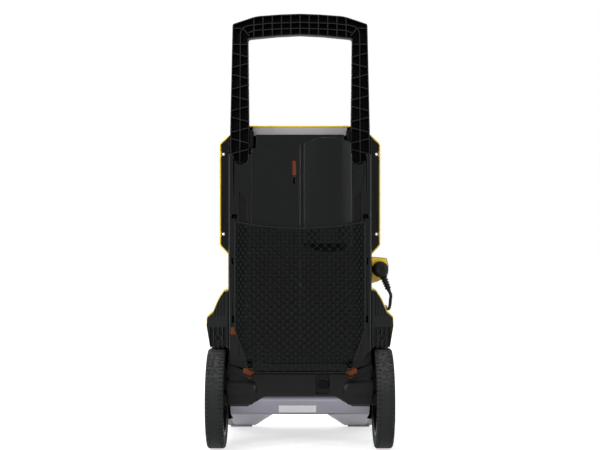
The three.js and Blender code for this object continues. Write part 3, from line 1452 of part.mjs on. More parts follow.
function storageNet() {
  const half = [netPitchX / 2 - netStrand / 2, netPitchZ / 2 - netStrand / 2];
  const [frontY, rearY] = [netY - 1, netY + netThickness + 1];
  const firstX = -Math.ceil(netHalfWidth / netPitchX) * netPitchX;
  const diamonds = [];
  for (let row = 0; netBottomZ + (row * netPitchZ) / 2 < netTopZ; row += 1) {
    const z = netBottomZ + (row * netPitchZ) / 2;
    const shift = row % 2 === 0 ? 0 : netPitchX / 2;
    for (let x = firstX + shift; x <= netHalfWidth; x += netPitchX) {
      diamonds.push(prism('y', [[x - half[0], z], [x, z - half[1]], [x + half[0], z], [x, z + half[1]]],
        frontY, rearY));
    }
  }
  const mesh = wasm.Manifold.union(diamonds);
  const inner = prism('y', inset(netOutline(), netHem), frontY, rearY);
  return cut(prism('y', netOutline(), netY, netY + netThickness), meet(mesh, inner));
}
add('storage_net', storageNet(), 'netCord');

// The hook's lip stands behind the net's hem. Its arm goes over the tray's rear wall, down
// behind it, and shows its nose in a slot.
function netHook() {
  const lipY = netY - gap;
  const armBottomZ = baseRearTopZ + 2 * gap;
  const armTopZ = armBottomZ + hookThickness;
  const behindY = baseRearY - wall - gap;
  const armEndX = hookArmX + hookArmWidth;
  return join(
    block(hookX, hookX + hookWidth, lipY - wall, lipY, hookTopZ - hookLipHeight, hookTopZ),
    block(hookArmX, armEndX, baseRearY + 2 * gap, lipY - wall / 2, armBottomZ, hookTopZ - hookThickness),
    block(hookArmX, armEndX, behindY - hookThickness, baseRearY + wall, armBottomZ, armTopZ),
    block(hookArmX, armEndX, behindY - hookThickness, behindY, hookNoseZ, armTopZ),
    block(hookArmX + 1, armEndX - 1, behindY - 1, baseRearY - 0.5, hookNoseZ, hookNoseZ + hookNoseHeight));
}
for (const [word, side] of sides) add(`net_hook_${word}`, flip(netHook(), side), 'orangePlastic');

// The clip that holds the net's edge on one side.
const clipX = shellHalfWidth - clipInset;
add('net_clip', block(
  clipX - clipWidth / 2, clipX + clipWidth / 2, shellRearY + gap, shellRearY + gap + clipThickness,
  clipZ - clipHeight / 2, clipZ + clipHeight / 2), 'orangePlastic');

export default washer;
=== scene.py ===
"""Finished look of an upright pressure washer: mouldings, wheels, net, cord and their materials."""

import math

import bmesh
import bpy
from mathutils import Matrix, Vector


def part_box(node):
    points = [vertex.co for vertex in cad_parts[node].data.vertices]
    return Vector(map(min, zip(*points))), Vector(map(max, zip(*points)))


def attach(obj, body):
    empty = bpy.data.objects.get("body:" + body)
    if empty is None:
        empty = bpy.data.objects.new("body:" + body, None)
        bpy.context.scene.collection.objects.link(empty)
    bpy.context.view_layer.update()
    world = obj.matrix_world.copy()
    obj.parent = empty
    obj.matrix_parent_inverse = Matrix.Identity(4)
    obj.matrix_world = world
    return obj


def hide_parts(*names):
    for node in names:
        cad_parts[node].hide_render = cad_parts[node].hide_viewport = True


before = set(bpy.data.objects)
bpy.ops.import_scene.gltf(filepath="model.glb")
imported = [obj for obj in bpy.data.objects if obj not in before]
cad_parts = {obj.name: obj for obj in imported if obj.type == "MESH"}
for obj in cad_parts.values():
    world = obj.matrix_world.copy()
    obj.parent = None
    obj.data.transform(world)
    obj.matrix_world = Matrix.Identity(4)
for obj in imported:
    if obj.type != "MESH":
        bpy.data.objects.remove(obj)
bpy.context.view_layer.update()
MM = 0.001
SIDES = (("left", 1), ("right", -1))


# ---------------------------------------------------------------- camera
VIEW_DISTANCE = 2.695
VIEW_HEIGHT = 0.485
VIEW_LENS = 71.8


def place_camera():
    lens = bpy.data.cameras.new("camera")
    lens.sensor_width = 36
    lens.lens = VIEW_LENS
    camera = bpy.data.objects.new("camera", lens)
    camera.location = (0, VIEW_DISTANCE, VIEW_HEIGHT)
    camera.rotation_euler = (math.radians(90), 0, math.radians(180))
    bpy.context.scene.collection.objects.link(camera)
    bpy.context.scene.camera = camera


place_camera()


# ---------------------------------------------------------------- small tools
def add_object(name, data, body):
    """A new piece at the origin that moves with a body."""
    piece = bpy.data.objects.new(name, data)
    bpy.context.scene.collection.objects.link(piece)
    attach(piece, body)
    return piece


def mesh_from(bm, name, sharp=45):
    """Turns a finished bmesh into a mesh with smooth faces and sharp creases."""
    mesh = bpy.data.meshes.new(name)
    bm.to_mesh(mesh)
    bm.free()
    mesh.shade_smooth()
    mesh.set_sharp_from_angle(angle=math.radians(sharp))
    return mesh


def face_out(bm):
    """Merges doubles and points all faces outwards."""
    bmesh.ops.remove_doubles(bm, verts=bm.verts, dist=0.01 * MM)
    bmesh.ops.recalc_face_normals(bm, faces=bm.faces)


def spun(profile, axis, centre, steps, close=False):
    """Spins a profile of (radius, along) points in millimetres round an axis through centre."""
    bm = bmesh.new()
    along = Vector(axis)
    out = along.orthogonal().normalized()
    origin = Vector(centre) * MM
    verts = [bm.verts.new(origin + out * r * MM + along * a * MM) for r, a in profile]
    ring = list(zip(verts, verts[1:]))
    if close:
        ring.append((verts[-1], verts[0]))
    edges = [bm.edges.new(pair) for pair in ring]
    bmesh.ops.spin(bm, geom=verts + edges, cent=origin, axis=along, dvec=(0, 0, 0), angle=2 * math.pi,
                   space=Matrix(), steps=steps, use_merge=True, use_duplicate=False)
    face_out(bm)
    return bm


def soften(bm, edge, angle=28, segments=2):
    """Rounds the edges of a moulding that turn more than an angle."""
    sharp = [e for e in bm.edges if len(e.link_faces) == 2 and e.calc_face_angle(0) > math.radians(angle)]
    bmesh.ops.bevel(bm, geom=sharp, offset=edge * MM, offset_type="OFFSET", segments=segments, profile=0.5,
                    affect="EDGES", clamp_overlap=False, loop_slide=False, material=-1)


def solid_copy(node):
    """A merged copy of a CAD solid."""
    bm = bmesh.new()
    bm.from_mesh(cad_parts[node].data)
    bmesh.ops.remove_doubles(bm, verts=bm.verts, dist=0.05 * MM)
    bmesh.ops.dissolve_degenerate(bm, edges=bm.edges, dist=0.02 * MM)
    return bm


def keeps_shape(bm, node, volume):
    """True if a rounded solid is still inside its box and holds nearly its volume."""
    low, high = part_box(node)
    slack = 0.02 * MM
    for vert in bm.verts:
        if any(vert.co[i] < low[i] - slack or vert.co[i] > high[i] + slack for i in range(3)):
            return False
    return 0.9 * volume < bm.calc_volume(signed=True) < 1.005 * volume


def moulded(node, body, material, edge=0.8, angle=28, segments=2):
    """A piece with the CAD solid's shape and rounded edges, in place of that solid."""
    for share in (1, 0.6, 0.35, 0.2, 0):
        bm = solid_copy(node)
        volume = bm.calc_volume(signed=True)
        if share:
            soften(bm, edge * share, angle, segments)
        if share == 0 or keeps_shape(bm, node, volume):
            break
        bm.free()
    piece = add_object(f"{node}_moulding", mesh_from(bm, node), body)
    piece.modifiers.new("even_shading", "WEIGHTED_NORMAL").keep_sharp = True
    piece.data.materials.append(material)
    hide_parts(node)
    return piece


def tube_mesh(name, lines, radius, sides=2, closed=False):
    """One mesh of round strands along lists of points in metres."""
    curve = bpy.data.curves.new(name, "CURVE")
    curve.dimensions = "3D"
    curve.bevel_depth = radius
    curve.bevel_resolution = sides
    curve.use_fill_caps = True
    for line in lines:
        spline = curve.splines.new("POLY")
        spline.points.add(len(line) - 1)
        for point, spot in zip(spline.points, line):
            point.co = (*spot, 1)
        spline.use_cyclic_u = closed
    holder = bpy.data.objects.new(name, curve)
    bpy.context.scene.collection.objects.link(holder)
    view = bpy.context.evaluated_depsgraph_get()
    mesh = bpy.data.meshes.new_from_object(holder.evaluated_get(view))
    bpy.data.objects.remove(holder)
    mesh.shade_smooth()
    return mesh


# ---------------------------------------------------------------- shared effects
def group_frame(name, inputs, outputs):
    """A shader node group with named inputs (name, kind, start value) and outputs (name, kind)."""
    group = bpy.data.node_groups.new(name, "ShaderNodeTree")
    for label, kind, value in inputs:
        socket = group.interface.new_socket(label, in_out="INPUT", socket_type=f"NodeSocket{kind}")
        socket.default_value = value
    for label, kind in outputs:
        group.interface.new_socket(label, in_out="OUTPUT", socket_type=f"NodeSocket{kind}")
    return group, group.nodes.new("NodeGroupInput"), group.nodes.new("NodeGroupOutput")


def node(tree, kind, values=None, **settings):
    """A shader node with its settings and its unlinked input values."""
    made = tree.nodes.new(f"ShaderNode{kind}")
    for key, value in settings.items():
        setattr(made, key, value)
    for key, value in (values or {}).items():
        made.inputs[key].default_value = value
    return made


def moulding_grain():
    """Fine spark-eroded grain of an injection moulding, as a normal."""
    group, given, result = group_frame(
        "moulding_grain", [("Size", "Float", 900.0), ("Depth", "Float", 0.1)], [("Normal", "Vector")])
    place = node(group, "TexCoord")
    fine = node(group, "TexNoise", {"Detail": 3.0, "Roughness": 0.6})
    waves = node(group, "TexNoise", {"Scale": 9.0, "Detail": 1.0})
    both = node(group, "MixRGB", {0: 0.35})
    bump = node(group, "Bump", {"Distance": 0.0004})
    link = group.links.new
    link(place.outputs["Object"], fine.inputs["Vector"])
    link(place.outputs["Object"], waves.inputs["Vector"])
    link(given.outputs["Size"], fine.inputs["Scale"])
    link(fine.outputs["Fac"], both.inputs[1])
    link(waves.outputs["Fac"], both.inputs[2])
    link(both.outputs[0], bump.inputs["Height"])
    link(given.outputs["Depth"], bump.inputs["Strength"])
    link(bump.outputs["Normal"], result.inputs["Normal"])
    return group


def handling_marks():
    """Cloudy changes of gloss from moulding, wiping and handling, as a roughness."""
    group, given, result = group_frame(
        "handling_marks", [("Roughness", "Float", 0.35), ("Spread", "Float", 0.1), ("Size", "Float", 14.0)],
        [("Roughness", "Float")])
    place = node(group, "TexCoord")
    cloud = node(group, "TexNoise", {"Detail": 6.0, "Roughness": 0.65})
    centred = node(group, "Math", {1: 0.5}, operation="SUBTRACT")
    scaled = node(group, "Math", operation="MULTIPLY")
    total = node(group, "Math", operation="ADD", use_clamp=True)
    link = group.links.new
    link(place.outputs["Object"], cloud.inputs["Vector"])
    link(given.outputs["Size"], cloud.inputs["Scale"])
    link(cloud.outputs["Fac"], centred.inputs[0])
    link(centred.outputs[0], scaled.inputs[0])
    link(given.outputs["Spread"], scaled.inputs[1])
    link(scaled.outputs[0], total.inputs[0])
    link(given.outputs["Roughness"], total.inputs[1])
    link(total.outputs[0], result.inputs["Roughness"])
    return group


def settled_dust():
    """A thin pale film on faces that look up, broken up by noise, over a colour."""
    group, given, result = group_frame(
        "settled_dust", [("Color", "Color", (0.5, 0.5, 0.5, 1)), ("Amount", "Float", 0.1)],
        [("Color", "Color")])
    place = node(group, "TexCoord")
    facing = node(group, "NewGeometry")
    apart = node(group, "SeparateXYZ")
    upward = node(group, "MapRange", {1: 0.2, 2: 1.0})
    speck = node(group, "TexNoise", {"Scale": 160.0, "Detail": 5.0, "Roughness": 0.7})
    broken = node(group, "MapRange", {1: 0.42, 2: 0.7})
    mask = node(group, "Math", operation="MULTIPLY")
    share = node(group, "Math", operation="MULTIPLY")
    mixed = node(group, "MixRGB", {2: (0.32, 0.31, 0.29, 1)})
    link = group.links.new
    link(facing.outputs["Normal"], apart.inputs[0])
    link(apart.outputs["Z"], upward.inputs[0])
    link(place.outputs["Object"], speck.inputs["Vector"])
    link(speck.outputs["Fac"], broken.inputs[0])
    link(upward.outputs[0], mask.inputs[0])
    link(broken.outputs[0], mask.inputs[1])
    link(mask.outputs[0], share.inputs[0])
    link(given.outputs["Amount"], share.inputs[1])
    link(share.outputs[0], mixed.inputs[0])
    link(given.outputs["Color"], mixed.inputs[1])
    link(mixed.outputs[0], result.inputs["Color"])
    return group


def painted_depth_shade():
    """Painted shade: blends from a deep shade colour to a face colour along the rear-facing depth of a
    moulding, so deeper faces are painted darker.
    """
    group, given, result = group_frame(
        "painted_depth_shade",
        [("Face", "Color", (0.5, 0.5, 0.5, 1)), ("Deep", "Color", (0, 0, 0, 1)),
         ("Deep at", "Float", 0.0), ("Face at", "Float", 1.0)], [("Color", "Color")])
    place = node(group, "TexCoord")
    apart = node(group, "SeparateXYZ")
    share = node(group, "MapRange", interpolation_type="SMOOTHSTEP")
    mixed = node(group, "MixRGB")
    link = group.links.new
    link(place.outputs["Object"], apart.inputs[0])
    link(apart.outputs["Y"], share.inputs[0])
    link(given.outputs["Deep at"], share.inputs[1])
    link(given.outputs["Face at"], share.inputs[2])
    link(share.outputs[0], mixed.inputs[0])
    link(given.outputs["Deep"], mixed.inputs[1])
    link(given.outputs["Face"], mixed.inputs[2])
    link(mixed.outputs[0], result.inputs["Color"])
    return group


GRAIN = moulding_grain()
MARKS = handling_marks()
DUST = settled_dust()
DEPTH_SHADE = painted_depth_shade()


class Finish:
    """A material with one Principled shader, dressed with the shared effects."""

    def __init__(self, name, color, metallic=0.0, level=0.5, **fixed):
        self.material = bpy.data.materials.new(name)
        self.material.use_nodes = True
        self.tree = self.material.node_tree
        self.shader = self.tree.nodes["Principled BSDF"]
        self.color = (*color, 1)
        self.shader.inputs["Base Color"].default_value = self.color
        self.shader.inputs["Metallic"].default_value = metallic
        self.shader.inputs["Specular IOR Level"].default_value = level
        for key, value in fixed.items():
            self.shader.inputs[key.replace("_", " ")].default_value = value
        self.source = None

    def effect(self, group, **values):
        made = self.tree.nodes.new("ShaderNodeGroup")
        made.node_tree = group
        for key, value in values.items():
            made.inputs[key.replace("_", " ")].default_value = value
        return made

    def feed(self, output, socket):
        self.tree.links.new(output, self.shader.inputs[socket])
        return self

    def grain(self, size=900.0, depth=0.1):
        return self.feed(self.effect(GRAIN, Size=size, Depth=depth).outputs["Normal"], "Normal")

    def marks(self, roughness=0.35, spread=0.1, size=14.0):
        made = self.effect(MARKS, Roughness=roughness, Spread=spread, Size=size)
        return self.feed(made.outputs["Roughness"], "Roughness")

    # Paints shade into recesses: faces that lie deeper towards the front take the deep colour.
    def tone(self, deep, deep_at, face_at):
        made = self.effect(DEPTH_SHADE, Face=self.color, Deep=(*deep, 1), Deep_at=deep_at, Face_at=face_at)
        self.source = made.outputs["Color"]
        return self.feed(self.source, "Base Color")

    def dust(self, amount=0.1):
        made = self.effect(DUST, Color=self.color, Amount=amount)
        if self.source:
            self.tree.links.new(self.source, made.inputs["Color"])
        self.source = made.outputs["Color"]
        return self.feed(self.source, "Base Color")


# ---------------------------------------------------------------- finishes
# The shell's deep channels and recesses are painted darker with the depth shade, as painted shade.
def black_shell_plastic():
    return Finish("black_shell_plastic", (0.0030, 0.0034, 0.0038), level=0.155).tone(
        (0.0006, 0.0007, 0.0008), 0.1, 0.1145).dust(0.02).grain(700, 0.08).marks(0.21, 0.1, 9).material


# The fenders' holes and recesses are painted darker with the depth shade, as painted shade.
def fender_plastic():
    return Finish("fender_plastic", (0.0068, 0.0078, 0.0080), level=0.15).tone(
        (0.0006, 0.0006, 0.0006), 0.1025, 0.1095).dust(0.05).grain(700, 0.12).marks(0.34, 0.16, 9).material


# The handle's pockets between the ribs are painted dark as painted shade, and the lighter grey of the rib
# tops is painted highlight.
def ribbed_plastic():
    return Finish("ribbed_plastic", (0.0160, 0.0160, 0.0170), level=0.05).tone(
        (0.0012, 0.0012, 0.0014), 0.1035, 0.1048).dust(0.03).grain(800, 0.15).marks(0.4, 0.12, 20).material


def plain_black_plastic():
    return Finish("plain_black_plastic", (0.003, 0.0031, 0.0034), level=0.06).dust(0.03).grain(
        800, 0.15).marks(0.4, 0.14, 16).material


# Painted shade: the yellow faces inside the closed cover and inside the wheel wells take a dark colour.
COVER_INSIDE_Y = 0.07
COVER_INSIDE_FACING = 0.3
COVER_INSIDE_SHADE = (0.004, 0.004, 0.004, 1)
WELL_AXLE = (0.0, -0.087, -0.108)
WELL_RADIUS = 0.1168


def yellow_plastic():
    """Glossy yellow outside; the closed cover's inside and the wheel wells are painted dark, as painted
    shade.
    """
    finish = Finish("yellow_plastic", (0.80, 0.57, 0.012), level=0.45, Coat_Weight=0.2, Coat_Roughness=0.12)
    tree = finish.tree
    place = node(tree, "TexCoord")
    apart = node(tree, "SeparateXYZ")
    facing = node(tree, "NewGeometry")
    turned = node(tree, "SeparateXYZ")
    inside = node(tree, "Math", {1: COVER_INSIDE_Y}, operation="LESS_THAN")
    rearward = node(tree, "Math", {1: COVER_INSIDE_FACING}, operation="GREATER_THAN")
    closed = node(tree, "Math", operation="MULTIPLY")
    centred = node(tree, "VectorMath", {1: WELL_AXLE}, operation="ADD")
    flat = node(tree, "VectorMath", {1: (0, 1, 1)}, operation="MULTIPLY")
    reach = node(tree, "VectorMath", operation="LENGTH")
    well = node(tree, "Math", {1: WELL_RADIUS}, operation="LESS_THAN")
    dark = node(tree, "Math", operation="MAXIMUM")
    mixed = node(tree, "MixRGB", {1: finish.color, 2: COVER_INSIDE_SHADE})
    link = tree.links.new
    link(place.outputs["Object"], apart.inputs[0])
    link(facing.outputs["Normal"], turned.inputs[0])
    link(apart.outputs["Y"], inside.inputs[0])
    link(turned.outputs["Y"], rearward.inputs[0])
    link(inside.outputs[0], closed.inputs[0])
    link(rearward.outputs[0], closed.inputs[1])
    link(place.outputs["Object"], centred.inputs[0])
    link(centred.outputs[0], flat.inputs[0])
    link(flat.outputs[0], reach.inputs[0])
    link(reach.outputs["Value"], well.inputs[0])
    link(closed.outputs[0], dark.inputs[0])
    link(well.outputs[0], dark.inputs[1])
    link(dark.outputs[0], mixed.inputs[0])
    finish.source = mixed.outputs[0]
    return finish.feed(finish.source, "Base Color").dust(0.04).grain(600, 0.06).marks(0.3, 0.1, 8).material


# The strip under the top edge is painted pale grey as a painted reflection of the light on that edge.
def painted_top_edge_reflection():
    return Finish("painted_top_edge_reflection", (0.335, 0.325, 0.325), level=0.4).dust(0.1).grain(
        900, 0.12).marks(
        0.42, 0.1, 12).material


def orange_plastic():
    return Finish("orange_plastic", (0.115, 0.030, 0.008), level=0.10).dust(0.05).grain(
        900, 0.15).marks(
        0.45, 0.12, 30).material


def wheel_plastic():
    return Finish("wheel_plastic", (0.006, 0.0062, 0.0066), level=0.16).dust(0.06).grain(
        700, 0.12).marks(
        0.36, 0.16, 14).material


def tyre_rubber():
    return Finish("tyre_rubber", (0.0150, 0.0165, 0.0170), level=0.12).dust(0.25).grain(420, 0.4).marks(
        0.66, 0.2, 22).material


def soft_rubber():
    return Finish("soft_rubber", (0.0045, 0.0045, 0.005), level=0.13).dust(0.08).grain(
        1100, 0.22).marks(
        0.5, 0.14, 40).material


# The feet's pale lavender grey is painted reflection of the pale floor.
def foot_rubber():
    return Finish("foot_rubber", (0.53, 0.52, 0.60), level=0.2).dust(0.1).grain(1100, 0.22).marks(
        0.55, 0.14, 40).material


def cord_jacket():
    return Finish("cord_jacket", (0.0068, 0.0068, 0.0074), level=0.16).dust(0.06).grain(
        1300, 0.25).marks(
        0.45, 0.12, 30).material


def net_yarn():
    return Finish("net_yarn", (0.0052, 0.0062, 0.0064), level=0.04).grain(
        2400, 0.9).marks(0.75, 0.1, 60).material


# A lighter yarn for the hem; on the knots the lighter colour is painted highlight.
def lighter_hem_and_knot_yarn():
    return Finish("lighter_hem_and_knot_yarn", (0.0150, 0.0170, 0.0170), level=0.06).grain(
        2400, 0.9).marks(0.7, 0.1, 60).material


def zinc_steel():
    return Finish("zinc_steel", (0.62, 0.62, 0.64), metallic=1.0).grain(
        1500, 0.06).marks(0.26, 0.12, 90).material


def machined_steel():
    return Finish("machined_steel", (0.30, 0.30, 0.31), metallic=1.0).grain(
        1500, 0.1).marks(0.34, 0.12, 60).material


def turned_brass():
    return Finish("turned_brass", (0.60, 0.40, 0.14), metallic=1.0).grain(
        1500, 0.05).marks(0.27, 0.1, 60).material


def cast_aluminium():
    return Finish("cast_aluminium", (0.48, 0.48, 0.50), metallic=1.0).grain(
        500, 0.3).marks(0.45, 0.14, 30).material


def bare_label():
    return Finish("bare_label", (0.97, 0.97, 0.98), level=0.4).dust(0.1).grain(1600, 0.05).marks(
        0.4, 0.1, 60).material


# Painted reflection: the underside fades to a pale grey towards the bottom, standing for the pale floor it
# reflects.
FLOOR_REFLECTION_GREY = (0.425, 0.415, 0.485, 1)
FLOOR_REFLECTION_FULL_Z = 0.1015
FLOOR_REFLECTION_NONE_Z = 0.1165
# The black strip over the axle housings runs down onto the slanted underside, where its lower part is
# painted shadow.
STRIP_SLANT = 1.6
STRIP_INNER_X = 0.259
STRIP_LOW_Z = 0.0905
TRAY_SIDE_X = 0.157


def base_plastic():
    """Black rear wall, axle housings and sides over an underside painted pale grey as a painted reflection
    of the pale floor; the black strip's slanted lower part is painted shadow.
    """
    finish = Finish("base_plastic", (0.0064, 0.0066, 0.0070), level=0.14)
    tree = finish.tree
    place = node(tree, "TexCoord")
    apart = node(tree, "SeparateXYZ")
    reach = node(tree, "Math", operation="ABSOLUTE")
    low = node(tree, "MapRange", {1: FLOOR_REFLECTION_NONE_Z, 2: FLOOR_REFLECTION_FULL_Z}, interpolation_type="SMOOTHSTEP")
    slanted = node(tree, "Math", {1: STRIP_SLANT}, operation="MULTIPLY_ADD")
    outside = node(tree, "Math", {1: STRIP_INNER_X}, operation="GREATER_THAN")
    above = node(tree, "Math", {1: STRIP_LOW_Z}, operation="GREATER_THAN")
    housing = node(tree, "Math", operation="MULTIPLY")
    flank = node(tree, "Math", {1: TRAY_SIDE_X}, operation="GREATER_THAN")
    black = node(tree, "Math", operation="MAXIMUM")
    grey = node(tree, "Math", {0: 1.0}, operation="SUBTRACT")
    share = node(tree, "Math", operation="MULTIPLY")
    mixed = node(tree, "MixRGB", {1: finish.color, 2: FLOOR_REFLECTION_GREY})
    link = tree.links.new
    link(place.outputs["Object"], apart.inputs[0])
    link(apart.outputs["X"], reach.inputs[0])
    link(apart.outputs["Z"], low.inputs[0])
    link(apart.outputs["Z"], slanted.inputs[0])
    link(reach.outputs[0], slanted.inputs[2])
    link(slanted.outputs[0], outside.inputs[0])
    link(apart.outputs["Z"], above.inputs[0])
    link(outside.outputs[0], housing.inputs[0])
    link(above.outputs[0], housing.inputs[1])
    link(reach.outputs[0], flank.inputs[0])
    link(housing.outputs[0], black.inputs[0])
    link(flank.outputs[0], black.inputs[1])
    link(black.outputs[0], grey.inputs[1])
    link(low.outputs[0], share.inputs[0])
    link(grey.outputs[0], share.inputs[1])
    link(share.outputs[0], mixed.inputs[0])
    finish.source = mixed.outputs[0]
    return finish.feed(finish.source, "Base Color").dust(0.03).grain(700, 0.12).marks(0.36, 0.16, 9).material


SHELL = black_shell_plastic()
FENDER = fender_plastic()
RIBBED = ribbed_plastic()
BLACK = plain_black_plastic()
YELLOW = yellow_plastic()
TOP_EDGE_REFLECTION = painted_top_edge_reflection()
ORANGE = orange_plastic()
WHEEL = wheel_plastic()
TYRE = tyre_rubber()
RUBBER = soft_rubber()
FOOT = foot_rubber()
JACKET = cord_jacket()
YARN = net_yarn()
LIGHTER_YARN = lighter_hem_and_knot_yarn()
ZINC = zinc_steel()
STEEL = machined_steel()
BRASS = turned_brass()
ALUMINIUM = cast_aluminium()
LABEL = bare_label()
BASE = base_plastic()


# ---------------------------------------------------------------- mains cord
CORD_RADIUS = 3.5
COIL_X = -172
COIL_Y = -292
COIL_MEAN_RADIUS = 42
COIL_LAYERS = 4
COIL_TURNS = 15.5
COIL_PITCH = 7.65
COIL_LAYER_PITCH = 7.7
COIL_STEPS = 16
COIL_BOTTOM = CORD_RADIUS + 0.2
TURNS_PER_LAYER = COIL_TURNS / COIL_LAYERS
COIL_OUTER_RADIUS = COIL_MEAN_RADIUS + TURNS_PER_LAYER * COIL_PITCH / 2
GLAND_X = COIL_X + COIL_OUTER_RADIUS
GLAND_Z = 46
GLAND_ROOT_Y = -195.3
GLAND_LENGTH = 36
GLAND_TIP_Y = GLAND_ROOT_Y - GLAND_LENGTH
PLUG_X = -175.4
PLUG_Z = 388.4
PLUG_RADIUS = 17.4
PLUG_FRONT_Y = 70.3
PLUG_DEPTH = 27
RELIEF_TILT = math.radians(22)
RELIEF_START = PLUG_RADIUS - 4
RELIEF_LENGTH = 38
RELIEF_RADIUS = 7.2
RELIEF_TIP_RADIUS = 4.1
RELIEF_RINGS = 5
PLUG_STEPS = 64
PLUG_GRIP_EVERY = 4
PIN_RADIUS = 2.4
PIN_TIP_RADIUS = 1.6
PIN_OFFSET_X = 9.5
PIN_REACH = 19


def coil_line():
    """Four piled layers that spiral in and out, climbing a layer where the spiral turns back."""
    per_layer = TURNS_PER_LAYER * COIL_STEPS
    climb = COIL_STEPS / 4
    line = []
    for i in range(int(COIL_TURNS * COIL_STEPS) + 1):
        layer = min(COIL_LAYERS - 1, int(i // per_layer))
        along = i - layer * per_layer
        share = along / per_layer if layer % 2 == 0 else 1 - along / per_layer
        radius = COIL_OUTER_RADIUS - share * TURNS_PER_LAYER * COIL_PITCH
        height = layer
        to_next = per_layer - along
        if to_next < climb and layer < COIL_LAYERS - 1:
            height += 0.5 * (1 - to_next / climb)
        if along < climb and layer > 0:
            height -= 0.5 * (1 - along / climb)
        angle = math.pi + 2 * math.pi * i / COIL_STEPS
        line.append((COIL_X + radius * math.cos(angle), COIL_Y + radius * math.sin(angle),
                     COIL_BOTTOM + height * COIL_LAYER_PITCH))
    return line


def along_relief(reach):
    """A point on the tilted line from the plug's middle through its strain relief, in millimetres."""
    return (PLUG_X - reach * math.sin(RELIEF_TILT), PLUG_FRONT_Y + PLUG_DEPTH / 2,
            PLUG_Z - reach * math.cos(RELIEF_TILT))


def cord_route():
    """From the gland through the coil on the floor and up beside the machine to the parked plug."""
    coil = coil_line()
    start = coil[0]
    end = coil[-1]
    machine_lead = [
        (GLAND_X, GLAND_TIP_Y - 0.3, GLAND_Z), (GLAND_X, GLAND_TIP_Y - 6, GLAND_Z),
        (GLAND_X, GLAND_TIP_Y - 12, GLAND_Z - 2.2), (GLAND_X, end[1] + 31, end[2] + 7),
        (end[0], end[1] + 15, end[2] + 0.2), (end[0], end[1] + 7, end[2]),
    ]
    tip = along_relief(RELIEF_START + RELIEF_LENGTH + 0.3)
    straight = along_relief(RELIEF_START + RELIEF_LENGTH + 9)
    low = COIL_BOTTOM
    plug_lead = [
        (start[0], start[1] + 7.3, low), (start[0], start[1] + 17, low), (start[0] - 0.6, -262, low),
        (-221, -236, low), (-213, -205, low), (-202, -175, low), (-193, -145, low), (-190, -125, 5.5),
        (-188.5, -110, 15), (-188, -101, 34), (-188, -99, 60), (-189, -99, 120), (-190, -99, 190),
        (-192, -98.5, 252), (-193.5, -93, 276), (-195, -80, 292), (-196, -62, 298), (-196, -40, 298),
        (-195.6, -5, 298), (-195.8, 30, 298.2), (-196.3, 52, 300.5), (-197.2, 70, 309), (-197.6, 80, 322),
        straight, tip,
    ]
    return machine_lead + coil[::-1] + plug_lead


def mains_cord():
    route = cord_route()
    curve = bpy.data.curves.new("mains_cord", "CURVE")
    curve.dimensions = "3D"
    curve.bevel_depth = 1
    curve.bevel_resolution = 3
    curve.resolution_u = 5
    curve.use_fill_caps = True
    spline = curve.splines.new("BEZIER")
    spline.bezier_points.add(len(route) - 1)
    for point, spot in zip(spline.bezier_points, route):
        point.co = Vector(spot) * MM
        point.radius = CORD_RADIUS * MM
        point.handle_left_type = "AUTO"
        point.handle_right_type = "AUTO"
    cord = add_object("mains_cord", curve, "machine")
    curve.materials.append(JACKET)
    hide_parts("cord_at_machine", "cord_coil", "cord_at_plug")
    return cord


# ---------------------------------------------------------------- plug and gland
def ribbed_profile(root, tip, length, rings, depth):
    """(radius, along) points of a tapered strain relief with soft rings."""
    profile = [(0, 0), (root + 1.5, 0), (root + 1.5, 3)]
    pitch = (length - 9) / rings
    for i in range(rings):
        along = 5 + i * pitch
        radius = root + (tip + 2.4 - root) * i / rings
        profile += [(radius - depth, along), (radius, along + 0.8), (radius, along + pitch - 2.4),
                    (radius - depth, along + pitch - 1.4)]
    return profile + [(tip, length - 3), (tip, length), (0, length)]


